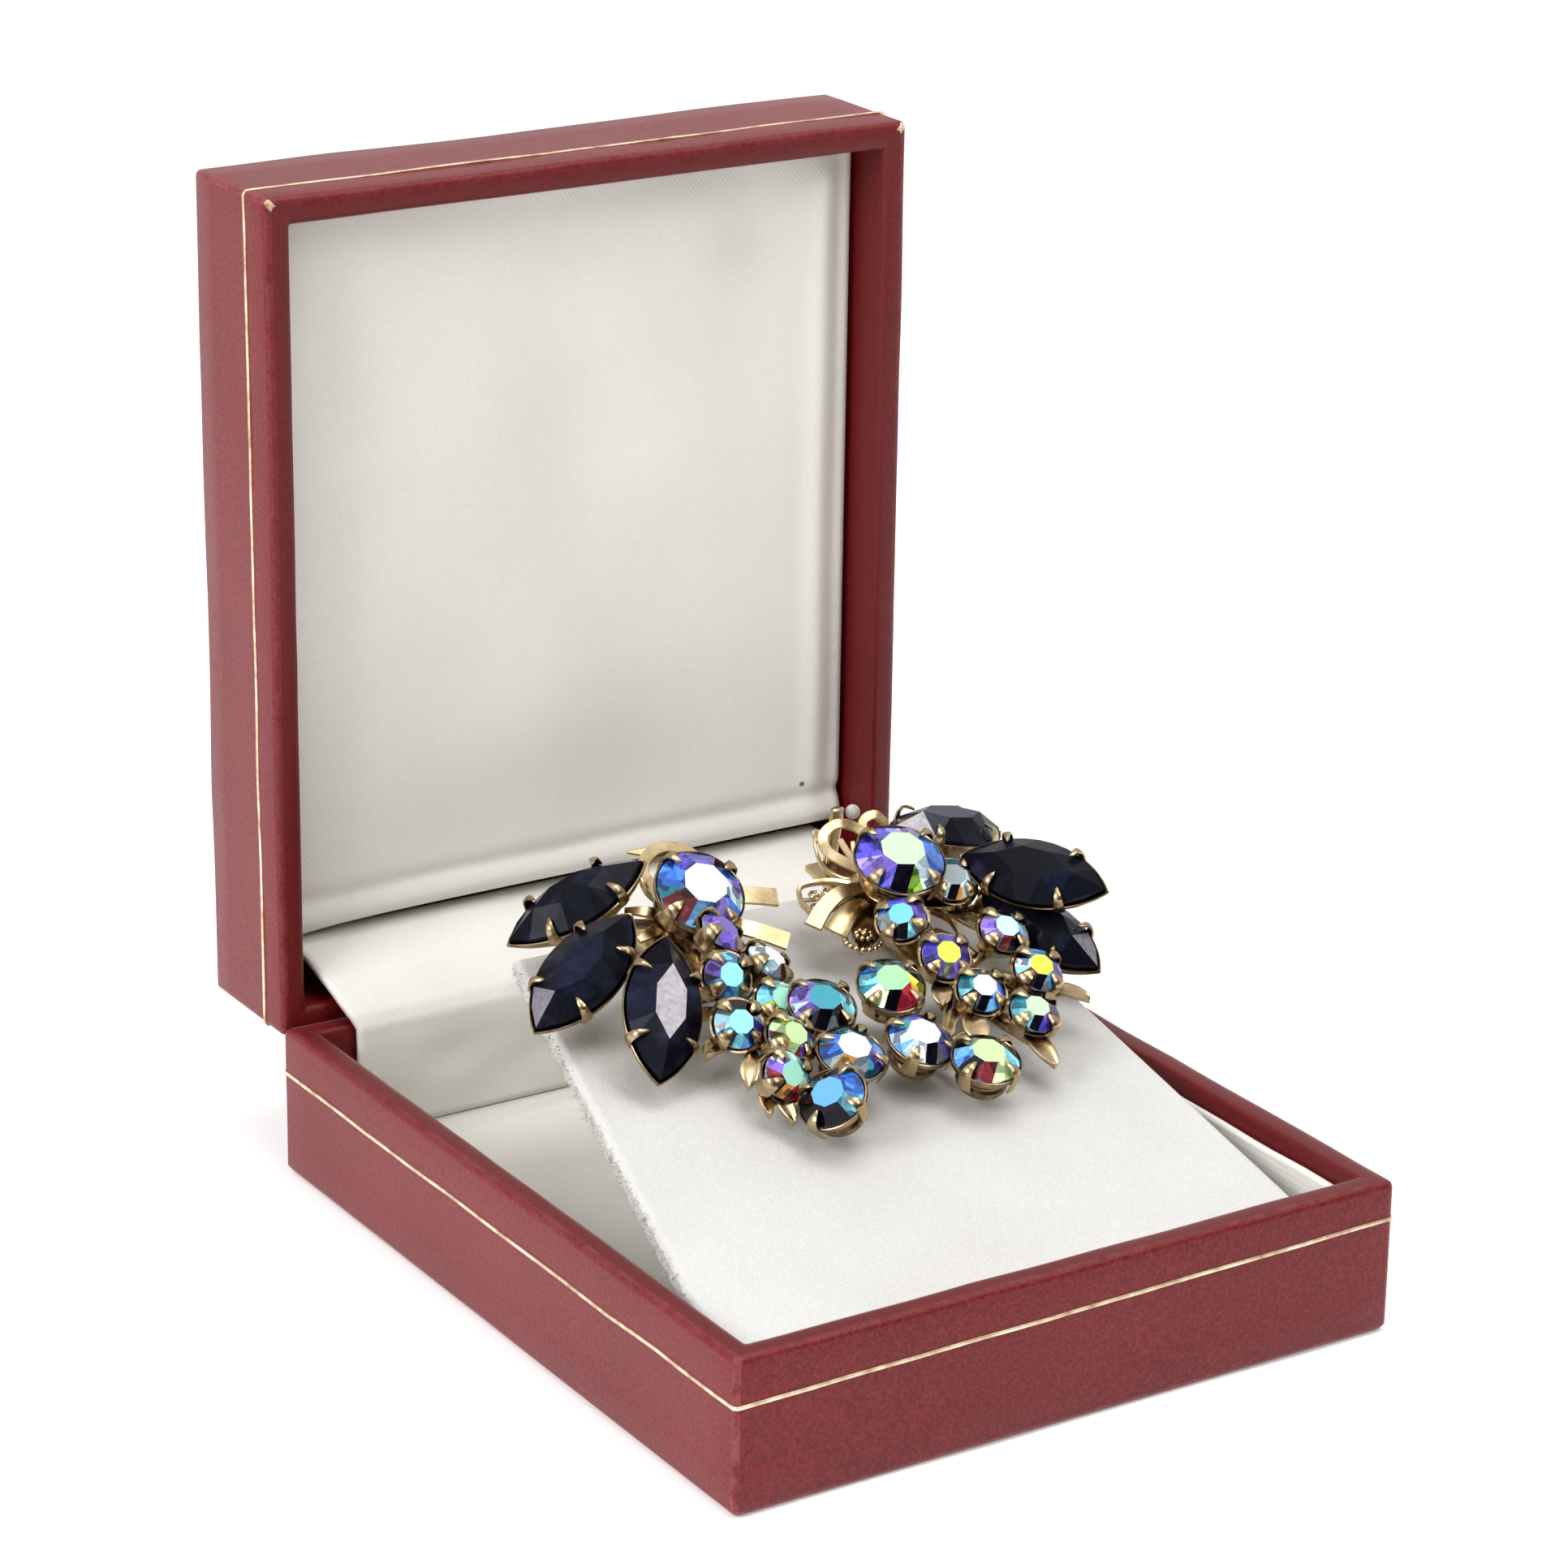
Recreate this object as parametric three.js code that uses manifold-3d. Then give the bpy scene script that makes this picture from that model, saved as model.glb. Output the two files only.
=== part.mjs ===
// Pair of rhinestone cluster clip earrings on the pad of an open hinged jewel box.
// Millimetres, +Z up, +X to the right along the box's front, +Y towards its hinge.
// The origin is the centre of the box's bottom face.

import * as THREE from 'three';
import { ConvexGeometry } from 'three/addons/geometries/ConvexGeometry.js';
import { mergeVertices } from 'three/addons/utils/BufferGeometryUtils.js';
import Module from 'manifold-3d';

const wasm = await Module();
wasm.setup();

// Box sizes
const BOX_WIDTH = 90;
const BOX_DEPTH = 105.6;
const BASE_HEIGHT = 19;
const LID_THICKNESS = 18.8;
const WALL = 3.3;
const BASE_FLOOR = 2.2;
const LID_BACK = 2.2;
const EDGE_RADIUS = 1;
const GAP = 0.3;
const LINING_WALL = 1;
const FLOOR_LINING = 2;
const LINING_BELOW_RIM = 0.5;
const LID_DROP = 1.4;
const LID_RECESS = 5.9;
const LID_LINING_FOOT = 6;
const HALF_DEPTH = BOX_DEPTH / 2;

// Satin stay that hides the hinge: its middle line in the Y-Z plane, from the lid to the floor
const SATIN_WIDTH = 74;
const SATIN_THICKNESS = 1;
const SATIN_LINE = [
  { y: 59.3, z: 26.4 },
  { y: 51.6, z: 20.8 },
  { y: 49.3, z: 20.1 },
  { y: 48.4, z: 18.9 },
  { y: 48.4, z: 4.9 },
];

// Pad that carries the earrings: it slopes up towards the hinge
const PAD_SLOPE = Math.atan(0.2);
const PAD_FRONT_Y = -HALF_DEPTH + 3;
const PAD_FRONT_Z = 15;
const PAD_THICKNESS = 2.4;
const PAD_OUTLINE = [
  { x: -39.8, q: 2 },
  { x: 36.6, q: 2 },
  { x: 37.6, q: 54 },
  { x: 37.9, q: 83.6 },
  { x: -24, q: 83.6 },
  { x: -39.8, q: 16 },
];
const SUPPORT_HALF_WIDTH = 12;
const SUPPORT_FRONT_Q = 14;
const SUPPORT_BACK_Q = 64;

// Stones: girdle radius of the round ones, length and width of the pointed ones
const ROUND_RADIUS = { big: 5.5, medium: 3.95, small: 3 };
const NAVETTE = { length: 18.6, width: 9.4, crown: 2.4, depth: 3.2 };
const TABLE_RATIO = 0.52;
const CROWN_RATIO = 0.42;
const GIRDLE_RATIO = 0.03;
const PAVILION_RATIO = 0.72;
const SETTING_WALL = 0.4;
const CUP_FLOOR = 0.5;
const PRONG_WIDTH = 1.1;
const SLIVER = 0.06;

// Each stone's girdle centre on the pad (x across, q up the slope, h above the pad),
// its lean to the right and to the front and its turn about its own axis, in degrees
const LEFT_STONES = [
  { name: 'navette_top', kind: 'navette', x: -19, q: 79.1, h: 9.5, right: -28, front: -5, turn: -6 },
  { name: 'navette_middle', kind: 'navette', x: -25.2, q: 66.3, h: 8.5, right: -25, front: 15, turn: 20 },
  { name: 'navette_low', kind: 'navette', x: -20.3, q: 55.7, h: 8.5, right: 0, front: 35, turn: 65 },
  { name: 'chaton_crown', kind: 'big', x: -5.6, q: 72.7, h: 11.5, right: 0, front: 28, turn: 0 },
  { name: 'chaton_1', kind: 'small', x: -7.1, q: 64.8, h: 10.7, right: 30, front: 15, turn: 0 },
  { name: 'chaton_2', kind: 'small', x: -9.5, q: 59, h: 8.5, right: -3, front: 45, turn: 0 },
  { name: 'chaton_3', kind: 'small', x: -2.5, q: 60.8, h: 7.8, right: 28, front: 10, turn: 0 },
  { name: 'chaton_4', kind: 'small', x: -12.8, q: 50.9, h: 7.5, right: -10, front: 41, turn: 0 },
  { name: 'chaton_5', kind: 'small', x: -4.6, q: 54.6, h: 6.3, right: 5, front: 30, turn: 0 },
  { name: 'chaton_6', kind: 'small', x: -8, q: 46.7, h: 7, right: 10, front: 30, turn: 0 },
  { name: 'chaton_7', kind: 'small', x: -11.9, q: 41.2, h: 6, right: 13, front: 45, turn: 0 },
  { name: 'drop_1', kind: 'medium', x: -1.4, q: 50.5, h: 7.6, right: -3, front: 15, turn: 0 },
  { name: 'drop_2', kind: 'medium', x: -2.7, q: 41.7, h: 6.5, right: 0, front: 15, turn: 22.5 },
  { name: 'drop_3', kind: 'medium', x: -9.4, q: 35.1, h: 6, right: -36, front: 3, turn: 0 },
];
const RIGHT_STONES = [
  { name: 'navette_top', kind: 'navette', x: 32.6, q: 75.9, h: 10.8, right: 14, front: -5, turn: 5 },
  { name: 'navette_middle', kind: 'navette', x: 35.3, q: 60.8, h: 12.5, right: -25, front: 13, turn: -56 },
  { name: 'navette_low', kind: 'navette', x: 35.3, q: 57.8, h: 6.1, right: -10, front: 11, turn: -73 },
  { name: 'chaton_crown', kind: 'big', x: 21.2, q: 69.4, h: 12.2, right: -6, front: 15, turn: 0 },
  { name: 'chaton_1', kind: 'small', x: 27.7, q: 66.8, h: 9.6, right: -10, front: 25, turn: 0 },
  { name: 'chaton_2', kind: 'small', x: 17.2, q: 62, h: 9, right: -25, front: 15, turn: 0 },
  { name: 'chaton_3', kind: 'small', x: 18.6, q: 54, h: 8, right: -8, front: 30, turn: 0 },
  { name: 'chaton_4', kind: 'small', x: 27.6, q: 55, h: 9, right: 0, front: 25, turn: 0 },
  { name: 'chaton_5', kind: 'small', x: 27.6, q: 47.3, h: 8, right: 0, front: 25, turn: 0 },
  { name: 'chaton_6', kind: 'small', x: 19.5, q: 47.2, h: 7, right: -5, front: 25, turn: 0 },
  { name: 'chaton_7', kind: 'small', x: 22.8, q: 40.8, h: 7, right: 0, front: 20, turn: 0 },
  { name: 'drop_1', kind: 'medium', x: 9.5, q: 52, h: 7, right: -8, front: 15, turn: 0 },
  { name: 'drop_2', kind: 'medium', x: 7.2, q: 41.8, h: 6, right: 3, front: 15, turn: 22.5 },
  { name: 'drop_3', kind: 'medium', x: 12.3, q: 35.3, h: 6, right: -3, front: 10, turn: 0 },
];

// Vines: each named point is a joint of the soldered skeleton, and each stone hangs on one of them
const STEM_RADIUS = 0.75;
const LEFT_SKELETON = {
  points: {
    hub: [-7, 75, 6],
    arm: [-14, 70, 5.2],
    elbow: [-9, 64, 5.2],
    bend: [-8, 57, 4.2],
    fork: [-8, 50, 3.6],
    tip: [-8, 42, 2.8],
  },
  vines: [['hub', 'arm'], ['hub', 'elbow'], ['elbow', 'bend'], ['bend', 'fork'], ['fork', 'tip']],
  hangers: {
    navette_top: 'hub', navette_middle: 'arm', navette_low: 'arm', chaton_crown: 'hub',
    chaton_1: 'elbow', chaton_2: 'elbow', chaton_3: 'elbow', chaton_4: 'bend', chaton_5: 'bend',
    chaton_6: 'fork', chaton_7: 'tip', drop_1: 'fork', drop_2: 'tip', drop_3: 'tip',
  },
};
const RIGHT_SKELETON = {
  points: {
    hub: [22, 71, 5.8],
    arm: [30, 66, 4.8],
    elbow: [22, 62, 5.2],
    bend: [22, 55, 4.4],
    fork: [20, 49, 3.8],
    tip: [12, 44, 2.6],
  },
  vines: [['hub', 'arm'], ['hub', 'elbow'], ['elbow', 'bend'], ['bend', 'fork'], ['bend', 'tip']],
  hangers: {
    navette_top: 'arm', navette_middle: 'arm', navette_low: 'arm', chaton_crown: 'hub',
    chaton_1: 'hub', chaton_2: 'elbow', chaton_3: 'bend', chaton_4: 'bend', chaton_5: 'fork',
    chaton_6: 'fork', chaton_7: 'fork', drop_1: 'tip', drop_2: 'tip', drop_3: 'tip',
  },
};

// Cast petals beside the cups: place of the middle, length, width and the way the tip points
const LEFT_PETALS = [
  { x: -12.5, q: 62.5, h: 5.5, length: 5.6, width: 2.6, heading: 150, pitch: 20 },
  { x: -13, q: 57, h: 4.6, length: 5.6, width: 3, heading: 190, pitch: 10 },
  { x: -14, q: 47.4, h: 4.2, length: 5.6, width: 2.8, heading: 205, pitch: 0 },
  { x: -12.6, q: 44.6, h: 3.2, length: 5.6, width: 2.6, heading: 230, pitch: -8 },
  { x: -14.5, q: 38.6, h: 3.2, length: 6, width: 2.6, heading: 240, pitch: -8 },
];
const RIGHT_PETALS = [
  { x: 25.8, q: 61.2, h: 6.2, length: 6, width: 3, heading: 10, pitch: 15 },
  { x: 14.8, q: 48.6, h: 4.2, length: 5.2, width: 2.6, heading: 250, pitch: 0 },
  { x: 17.2, q: 43.2, h: 3.6, length: 5.8, width: 2.8, heading: 250, pitch: -6 },
  { x: 20.6, q: 36.6, h: 3.8, length: 6.4, width: 3.2, heading: 265, pitch: -12 },
  { x: 31.2, q: 46, h: 4.6, length: 5.8, width: 2.8, heading: 330, pitch: 0 },
];
const PETAL_THICKNESS = 1.3;

// Ribbon bows: flat loops as rings, and tails that run from a start by a middle to an end
const RIBBON_THICKNESS = 0.8;
const LEFT_BOW = {
  knot: { x: -4.5, q: 77, h: 7, radius: 2.4 },
  loops: [{ x: -2.6, q: 82.6, h: 8, outer: 4.4, inner: 3.1, right: 5, front: 30 }],
  tails: [
    { from: [-3.5, 76, 7], by: [2, 75, 8], to: [6.4, 72.6, 7.2], width: 2.1 },
    { from: [-4.5, 72, 5.5], by: [-0.5, 69, 7.2], to: [3.8, 66.4, 6.2], width: 2.3 },
  ],
};
const RIGHT_BOW = {
  knot: { x: 20, q: 74, h: 7, radius: 2.4 },
  loops: [
    { x: 20.6, q: 80.6, h: 8.4, outer: 3.2, inner: 2, right: -20, front: 45 },
    { x: 16, q: 75.4, h: 7, outer: 3.4, inner: 2.5, right: -25, front: 10 },
  ],
  tails: [
    { from: [19, 73, 6.6], by: [13, 71.5, 8], to: [8.4, 67.8, 6.8], width: 1.9 },
    { from: [19, 71, 5.6], by: [13.5, 68.5, 6.8], to: [10.2, 65, 6], width: 2.3 },
  ],
};

// Clips: a paddle on the pad, an upright under the hub and a lever that stands behind the bow
const CLIP_WIDTH = 5;
const CLIP_SHEET = 1;
const CLIPS = {
  left: { x: -7, front: 66, back: 84, hub_q: 75, top: 4.3 },
  right: { x: 23, front: 62, back: 86.6, hub_q: 71, top: 4.1 },
};
const LEVER = { x: 24, q: 87, width: 1.8, height: 9.2 };
const CUSHION = { x: 26.2, q: 87.2, h: 8.3, radius: 0.95 };

const radians = THREE.MathUtils.degToRad;

function closedParts(geometry) {
  const bare = geometry.clone();
  for (const name of Object.keys(bare.attributes)) {
    if (name !== 'position') bare.deleteAttribute(name);
  }
  const merged = mergeVertices(bare, 1e-4);
  const index = merged.index.array;
  const triangles = [];
  for (let i = 0; i < index.length; i += 3) {
    const [a, b, c] = [index[i], index[i + 1], index[i + 2]];
    if (a !== b && b !== c && c !== a) triangles.push(a, b, c);
  }
  return { points: new Float32Array(merged.attributes.position.array), triangles };
}

function toSolid(geometry) {
  const { points, triangles } = closedParts(geometry);
  const build = (triVerts) => new wasm.Manifold(
    new wasm.Mesh({ numProp: 3, vertProperties: points, triVerts: new Uint32Array(triVerts) }));
  const solid = build(triangles);
  return solid.volume() > 0 ? solid : build(triangles.reverse());
}

function toGeometry(solid) {
  const mesh = solid.getMesh();
  const positions = new Float32Array(mesh.numVert * 3);
  for (let i = 0; i < mesh.numVert; i += 1) {
    positions.set(mesh.vertProperties.subarray(i * mesh.numProp, i * mesh.numProp + 3), i * 3);
  }
  const geometry = new THREE.BufferGeometry();
  geometry.setAttribute('position', new THREE.BufferAttribute(positions, 3));
  geometry.setIndex(Array.from(mesh.triVerts));
  geometry.computeVertexNormals();
  return geometry;
}

const join = (solids) => solids.reduce((whole, solid) => whole.add(solid));

function material(color, roughness, metalness) {
  return new THREE.MeshStandardMaterial({ color, roughness, metalness });
}
const LEATHER = material(0x7a2028, 0.5, 0);
const SATIN = material(0xe6e3dd, 0.45, 0);
const FELT = material(0xe9e6e2, 0.95, 0);
const GOLD = material(0xc9a05a, 0.3, 1);
const NAVY_GLASS = material(0x14162e, 0.1, 0);
const AURORA_GLASS = material(0x86c8ea, 0.08, 0.2);
const RUBBER = material(0xb9b7b4, 0.6, 0);

function piece(name, geometry, finish) {
  const mesh = new THREE.Mesh(geometry, finish);
  mesh.name = name;
  return mesh;
}

// A block between two corners
function block(low, high) {
  const size = high.map((value, i) => value - low[i]);
  const geometry = new THREE.BoxGeometry(...size);
  geometry.translate(low[0] + size[0] / 2, low[1] + size[1] / 2, low[2] + size[2] / 2);
  return geometry;
}

// A block along Z whose four upright edges are rounded
function roundedBlock(width, depth, height, radius) {
  const [w, d] = [width / 2, depth / 2];
  const shape = new THREE.Shape();
  shape.moveTo(-w + radius, -d);
  shape.lineTo(w - radius, -d);
  shape.absarc(w - radius, -d + radius, radius, -Math.PI / 2, 0);
  shape.absarc(w - radius, d - radius, radius, 0, Math.PI / 2);
  shape.absarc(-w + radius, d - radius, radius, Math.PI / 2, Math.PI);
  shape.absarc(-w + radius, -d + radius, radius, Math.PI, Math.PI * 1.5);
  return new THREE.ExtrudeGeometry(shape, { depth: height, bevelEnabled: false, curveSegments: 3 });
}

// A tray: a rounded block with a square well
function tray(height, floor) {
  const outer = roundedBlock(BOX_WIDTH, BOX_DEPTH, height, EDGE_RADIUS);
  const [w, d] = [BOX_WIDTH / 2 - WALL, HALF_DEPTH - WALL];
  const well = block([-w, -d, floor], [w, d, height + 1]);
  return toGeometry(toSolid(outer).subtract(toSolid(well)));
}

function makeBase() {
  const inner = { x: BOX_WIDTH / 2 - WALL - GAP, y: HALF_DEPTH - WALL - GAP };
  const low = BASE_FLOOR + GAP;
  const high = BASE_HEIGHT - LINING_BELOW_RIM;
  const shell = toSolid(block([-inner.x, -inner.y, low], [inner.x, inner.y - SATIN_THICKNESS - GAP, high]));
  const well = toSolid(block(
    [-inner.x + LINING_WALL, -inner.y + LINING_WALL, low + FLOOR_LINING],
    [inner.x - LINING_WALL, inner.y + 1, high + 1]));
  return [
    piece('base_tray', tray(BASE_HEIGHT, BASE_FLOOR), LEATHER),
    piece('base_lining', toGeometry(shell.subtract(well)), SATIN),
  ];
}

// The lid is built lying down as a tray and stood up behind the base, its rim towards the front
function makeLid() {
  const lid = new THREE.Group();
  lid.rotation.x = Math.PI / 2;
  lid.position.set(0, HALF_DEPTH + GAP + LID_THICKNESS, BASE_HEIGHT - LID_DROP + HALF_DEPTH);
  lid.add(piece('lid_shell', tray(LID_THICKNESS, LID_BACK), LEATHER));
  const inner = { x: BOX_WIDTH / 2 - WALL - GAP, y: HALF_DEPTH - WALL - GAP };
  const panel = block(
    [-inner.x, -inner.y + LID_LINING_FOOT, LID_BACK + GAP],
    [inner.x, inner.y, LID_THICKNESS - LID_RECESS]);
  lid.add(piece('lid_lining', panel, SATIN));
  return lid;
}

// A sheet of even thickness along a line in the Y-Z plane
function makeSatin() {
  const line = SATIN_LINE.map(({ y, z }) => new THREE.Vector2(y, z));
  const side = (offset) => line.map((point, i) => {
    const before = point.clone().sub(line[Math.max(i - 1, 0)]).normalize();
    const after = line[Math.min(i + 1, line.length - 1)].clone().sub(point).normalize();
    const along = before.add(after).normalize();
    return new THREE.Vector2(point.x - along.y * offset, point.y + along.x * offset);
  });
  const half = SATIN_THICKNESS / 2;
  const outline = [...side(half), ...side(-half).reverse()];
  const geometry = new THREE.ExtrudeGeometry(new THREE.Shape(outline), { depth: SATIN_WIDTH, bevelEnabled: false });
  geometry.translate(0, 0, -SATIN_WIDTH / 2);
  // The outline's own axes are Y and Z of the part, and the extrusion runs along X
  geometry.applyMatrix4(new THREE.Matrix4().makeBasis(
    new THREE.Vector3(0, 1, 0), new THREE.Vector3(0, 0, 1), new THREE.Vector3(1, 0, 0)));
  return piece('hinge_satin', geometry, SATIN);
}

function makePad(padGroup) {
  const shape = new THREE.Shape(PAD_OUTLINE.map(({ x, q }) => new THREE.Vector2(x, q)));
  const board = new THREE.ExtrudeGeometry(shape, { depth: PAD_THICKNESS, bevelEnabled: false });
  board.translate(0, 0, -PAD_THICKNESS);
  padGroup.add(piece('pad', board, FELT));
  const floor = BASE_FLOOR + GAP + FLOOR_LINING + GAP;
  const yAt = (q) => PAD_FRONT_Y + q * Math.cos(PAD_SLOPE);
  const zAt = (q) => PAD_FRONT_Z + q * Math.sin(PAD_SLOPE) - (PAD_THICKNESS + GAP) / Math.cos(PAD_SLOPE);
  const corners = [];
  for (const x of [-SUPPORT_HALF_WIDTH, SUPPORT_HALF_WIDTH]) {
    for (const q of [SUPPORT_FRONT_Q, SUPPORT_BACK_Q]) {
      corners.push(new THREE.Vector3(x, yAt(q), floor), new THREE.Vector3(x, yAt(q), zAt(q)));
    }
  }
  return piece('pad_support', new ConvexGeometry(corners), SATIN);
}

// A round cut stone: an eight-sided table, eight flat crown facets that meet a round girdle and
// eight pavilion facets
function roundStonePoints(radius) {
  const r = radius;
  const table = radius * TABLE_RATIO;
  const crown = radius * CROWN_RATIO;
  const culet = radius * PAVILION_RATIO;
  const half = radius * GIRDLE_RATIO;
  const apothem = Math.cos(Math.PI / 8);
  // Height of the girdle under a facet's corner, so that the facet is one plane
  const corner = (top, reach) => {
    const slopeRun = (r - reach) * apothem;
    const rise = r * (1 - apothem);
    return (half * slopeRun + rise * top) / (slopeRun + rise);
  };
  const upper = corner(crown, table);
  const lower = corner(culet, 0);
  const points = [new THREE.Vector3(0, 0, -culet)];
  for (let i = 0; i < 8; i += 1) {
    const [a, b] = [(i * Math.PI) / 4, ((i + 0.5) * Math.PI) / 4];
    points.push(new THREE.Vector3(table * Math.cos(a), table * Math.sin(a), crown));
    for (const z of [upper, -lower]) points.push(new THREE.Vector3(r * Math.cos(a), r * Math.sin(a), z));
    for (const z of [half, -half]) points.push(new THREE.Vector3(r * Math.cos(b), r * Math.sin(b), z));
  }
  return points;
}

// Outline of a pointed oval: two arcs that meet in the tips, with so many steps an arc
function navetteOutline(length, width, steps) {
  const [l, w] = [length / 2, width / 2];
  const radius = (l * l + w * w) / (2 * w);
  const half = Math.asin(l / radius);
  const points = [];
  for (const side of [1, -1]) {
    for (let i = 0; i < steps; i += 1) {
      const angle = -half + (2 * half * i) / steps;
      points.push({ x: side * radius * Math.sin(angle), y: side * (radius * Math.cos(angle) - radius + w) });
    }
  }
  return points;
}

function navettePoints(grow = 0) {
  const { length, width, crown, depth } = NAVETTE;
  const points = [];
  const ring = (l, w, steps, z) => {
    for (const { x, y } of navetteOutline(l, w, steps)) points.push(new THREE.Vector3(x, y, z));
  };
  ring(length * 0.56 + grow, width * 0.42 + grow, 3, crown + grow);
  ring(length + grow * 3, width + grow * 2.1, 6, 0.2 + grow);
  ring(length + grow * 3, width + grow * 2.1, 6, -0.2 - grow);
  ring(length * 0.5 + grow, width * 0.14 + grow, 2, -depth - grow * 1.2);
  return points;
}

const stonePoints = (kind) => (kind === 'navette' ? navettePoints() : roundStonePoints(ROUND_RADIUS[kind]));

// The pocket in the setting: an eight-sided hollow round the stone, GAP away from it
function roundPocketPoints(radius) {
  const reach = pocketReach(radius);
  const table = radius * TABLE_RATIO + GAP * 0.8;
  const half = radius * GIRDLE_RATIO + GAP * 1.4;
  const points = [new THREE.Vector3(0, 0, -radius * PAVILION_RATIO - GAP * 1.5)];
  for (let i = 0; i < 8; i += 1) {
    const angle = (i * Math.PI) / 4;
    const [x, y] = [Math.cos(angle), Math.sin(angle)];
    points.push(new THREE.Vector3(table * x, table * y, radius * CROWN_RATIO + GAP));
    for (const z of [half, -half]) points.push(new THREE.Vector3(reach * x, reach * y, z));
  }
  return points;
}
const pocketReach = (radius) => (radius + GAP) / Math.cos(Math.PI / 8);
const pocketPoints = (kind) => (
  kind === 'navette' ? navettePoints(GAP) : roundPocketPoints(ROUND_RADIUS[kind]));

function placeOf({ x, q, h, right, front, turn = 0 }) {
  const turned = new THREE.Quaternion().setFromEuler(
    new THREE.Euler(radians(front), radians(right), radians(turn), 'YXZ'));
  return new THREE.Matrix4().compose(new THREE.Vector3(x, q, h), turned, new THREE.Vector3(1, 1, 1));
}

function makeStone(side, stone) {
  const finish = stone.kind === 'navette' ? NAVY_GLASS : AURORA_GLASS;
  const mesh = piece(`${side}_${stone.name}`, new ConvexGeometry(stonePoints(stone.kind)), finish);
  placeOf(stone).decompose(mesh.position, mesh.quaternion, mesh.scale);
  return mesh;
}

// A claw: a bent profile that rises outside the girdle and leans over the crown
function prong(reach, crown, angle, centre = [0, 0]) {
  const out = GAP + SETTING_WALL;
  const top = crown * 0.55 + 0.9;
  const profile = [
    [reach - 0.5, -0.3], [reach + out + 0.5, -0.3], [reach - 0.8, top],
  ];
  const shape = new THREE.Shape(profile.map(([r, z]) => new THREE.Vector2(r, z)));
  const geometry = new THREE.ExtrudeGeometry(shape, { depth: PRONG_WIDTH, bevelEnabled: false });
  geometry.translate(0, 0, -PRONG_WIDTH / 2);
  geometry.rotateX(Math.PI / 2);
  geometry.rotateZ(angle);
  geometry.translate(centre[0], centre[1], 0);
  return geometry;
}

function roundSetting(kind) {
  const radius = ROUND_RADIUS[kind];
  const depth = radius * PAVILION_RATIO + GAP * 1.4 + CUP_FLOOR;
  const rim = pocketReach(radius) + SETTING_WALL;
  const profile = [[0, -depth], [radius * 0.62, -depth], [rim, -radius * 0.25], [rim, 0.15], [0, 0.15]];
  const cup = new THREE.LatheGeometry(profile.map(([r, z]) => new THREE.Vector2(r, z)), 8);
  cup.rotateX(Math.PI / 2);
  const parts = [cup];
  for (let i = 0; i < 4; i += 1) {
    parts.push(prong(radius, radius * CROWN_RATIO, Math.PI / 8 + (i * Math.PI) / 2));
  }
  return { parts, depth };
}

function navetteSetting() {
  const { length, width, crown, depth } = NAVETTE;
  const bottom = depth + GAP * 1.2 + CUP_FLOOR;
  const points = [];
  const ring = (l, w, z) => {
    for (const { x, y } of navetteOutline(l, w, 4)) points.push(new THREE.Vector3(x, y, z));
  };
  ring(length + GAP * 3 + SETTING_WALL * 2.4, width + (GAP + SETTING_WALL) * 2, 0.1);
  ring(length + GAP * 3 + SETTING_WALL * 2.4, width + (GAP + SETTING_WALL) * 2, -0.9);
  ring(length * 0.6, width * 0.4, -bottom);
  const parts = [new ConvexGeometry(points)];
  for (const end of [-1, 1]) {
    for (const side of [-1, 1]) {
      parts.push(prong(width * 0.32, crown, side * radians(90), [end * length * 0.27, side * width * 0.08]));
    }
  }
  return { parts, depth: bottom };
}

// A thin rod between two points of the skeleton
function rod(from, to, radius) {
  const section = new THREE.Shape();
  for (let i = 0; i < 5; i += 1) {
    const angle = (i * Math.PI * 2) / 5;
    const corner = [radius * Math.cos(angle), radius * Math.sin(angle)];
    if (i === 0) section.moveTo(...corner); else section.lineTo(...corner);
  }
  const path = new THREE.LineCurve3(new THREE.Vector3(...from), new THREE.Vector3(...to));
  return new THREE.ExtrudeGeometry(section, { steps: 1, extrudePath: path, bevelEnabled: false });
}

function petal({ x, q, h, length, width, heading, pitch }) {
  const geometry = new THREE.SphereGeometry(0.5, 6, 3);
  geometry.scale(length, width, PETAL_THICKNESS);
  geometry.rotateY(radians(-pitch));
  geometry.rotateZ(radians(heading));
  geometry.translate(x, q, h);
  return geometry;
}

function bowLoop({ x, q, h, outer, inner, right, front }) {
  const shape = new THREE.Shape();
  shape.absarc(0, 0, outer, 0, Math.PI * 2);
  const hole = new THREE.Path();
  hole.absarc(0, 0, inner, 0, Math.PI * 2, true);
  shape.holes.push(hole);
  const geometry = new THREE.ExtrudeGeometry(shape, {
    depth: RIBBON_THICKNESS, bevelEnabled: false, curveSegments: 7,
  });
  geometry.translate(0, 0, -RIBBON_THICKNESS / 2);
  return geometry.applyMatrix4(placeOf({ x, q, h, right, front }));
}

// A flat band whose width lies across its run and parallel to the pad
function ribbonTail({ from, by, to, width }) {
  const curve = new THREE.QuadraticBezierCurve3(...[from, by, to].map((point) => new THREE.Vector3(...point)));
  const corners = [];
  const steps = 3;
  for (let i = 0; i <= steps; i += 1) {
    const point = curve.getPoint(i / steps);
    const along = curve.getTangent(i / steps);
    const across = new THREE.Vector3(-along.y, along.x, 0).normalize();
    corners.push({ point, across });
  }
  const slabs = [];
  for (let i = 0; i < steps; i += 1) {
    const ends = [];
    for (const { point, across } of [corners[i], corners[i + 1]]) {
      for (const side of [-1, 1]) {
        for (const level of [-1, 1]) {
          const offset = new THREE.Vector3(0, 0, (level * RIBBON_THICKNESS) / 2);
          ends.push(point.clone().addScaledVector(across, (side * width) / 2).add(offset));
        }
      }
    }
    slabs.push(new ConvexGeometry(ends));
  }
  return slabs;
}

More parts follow.
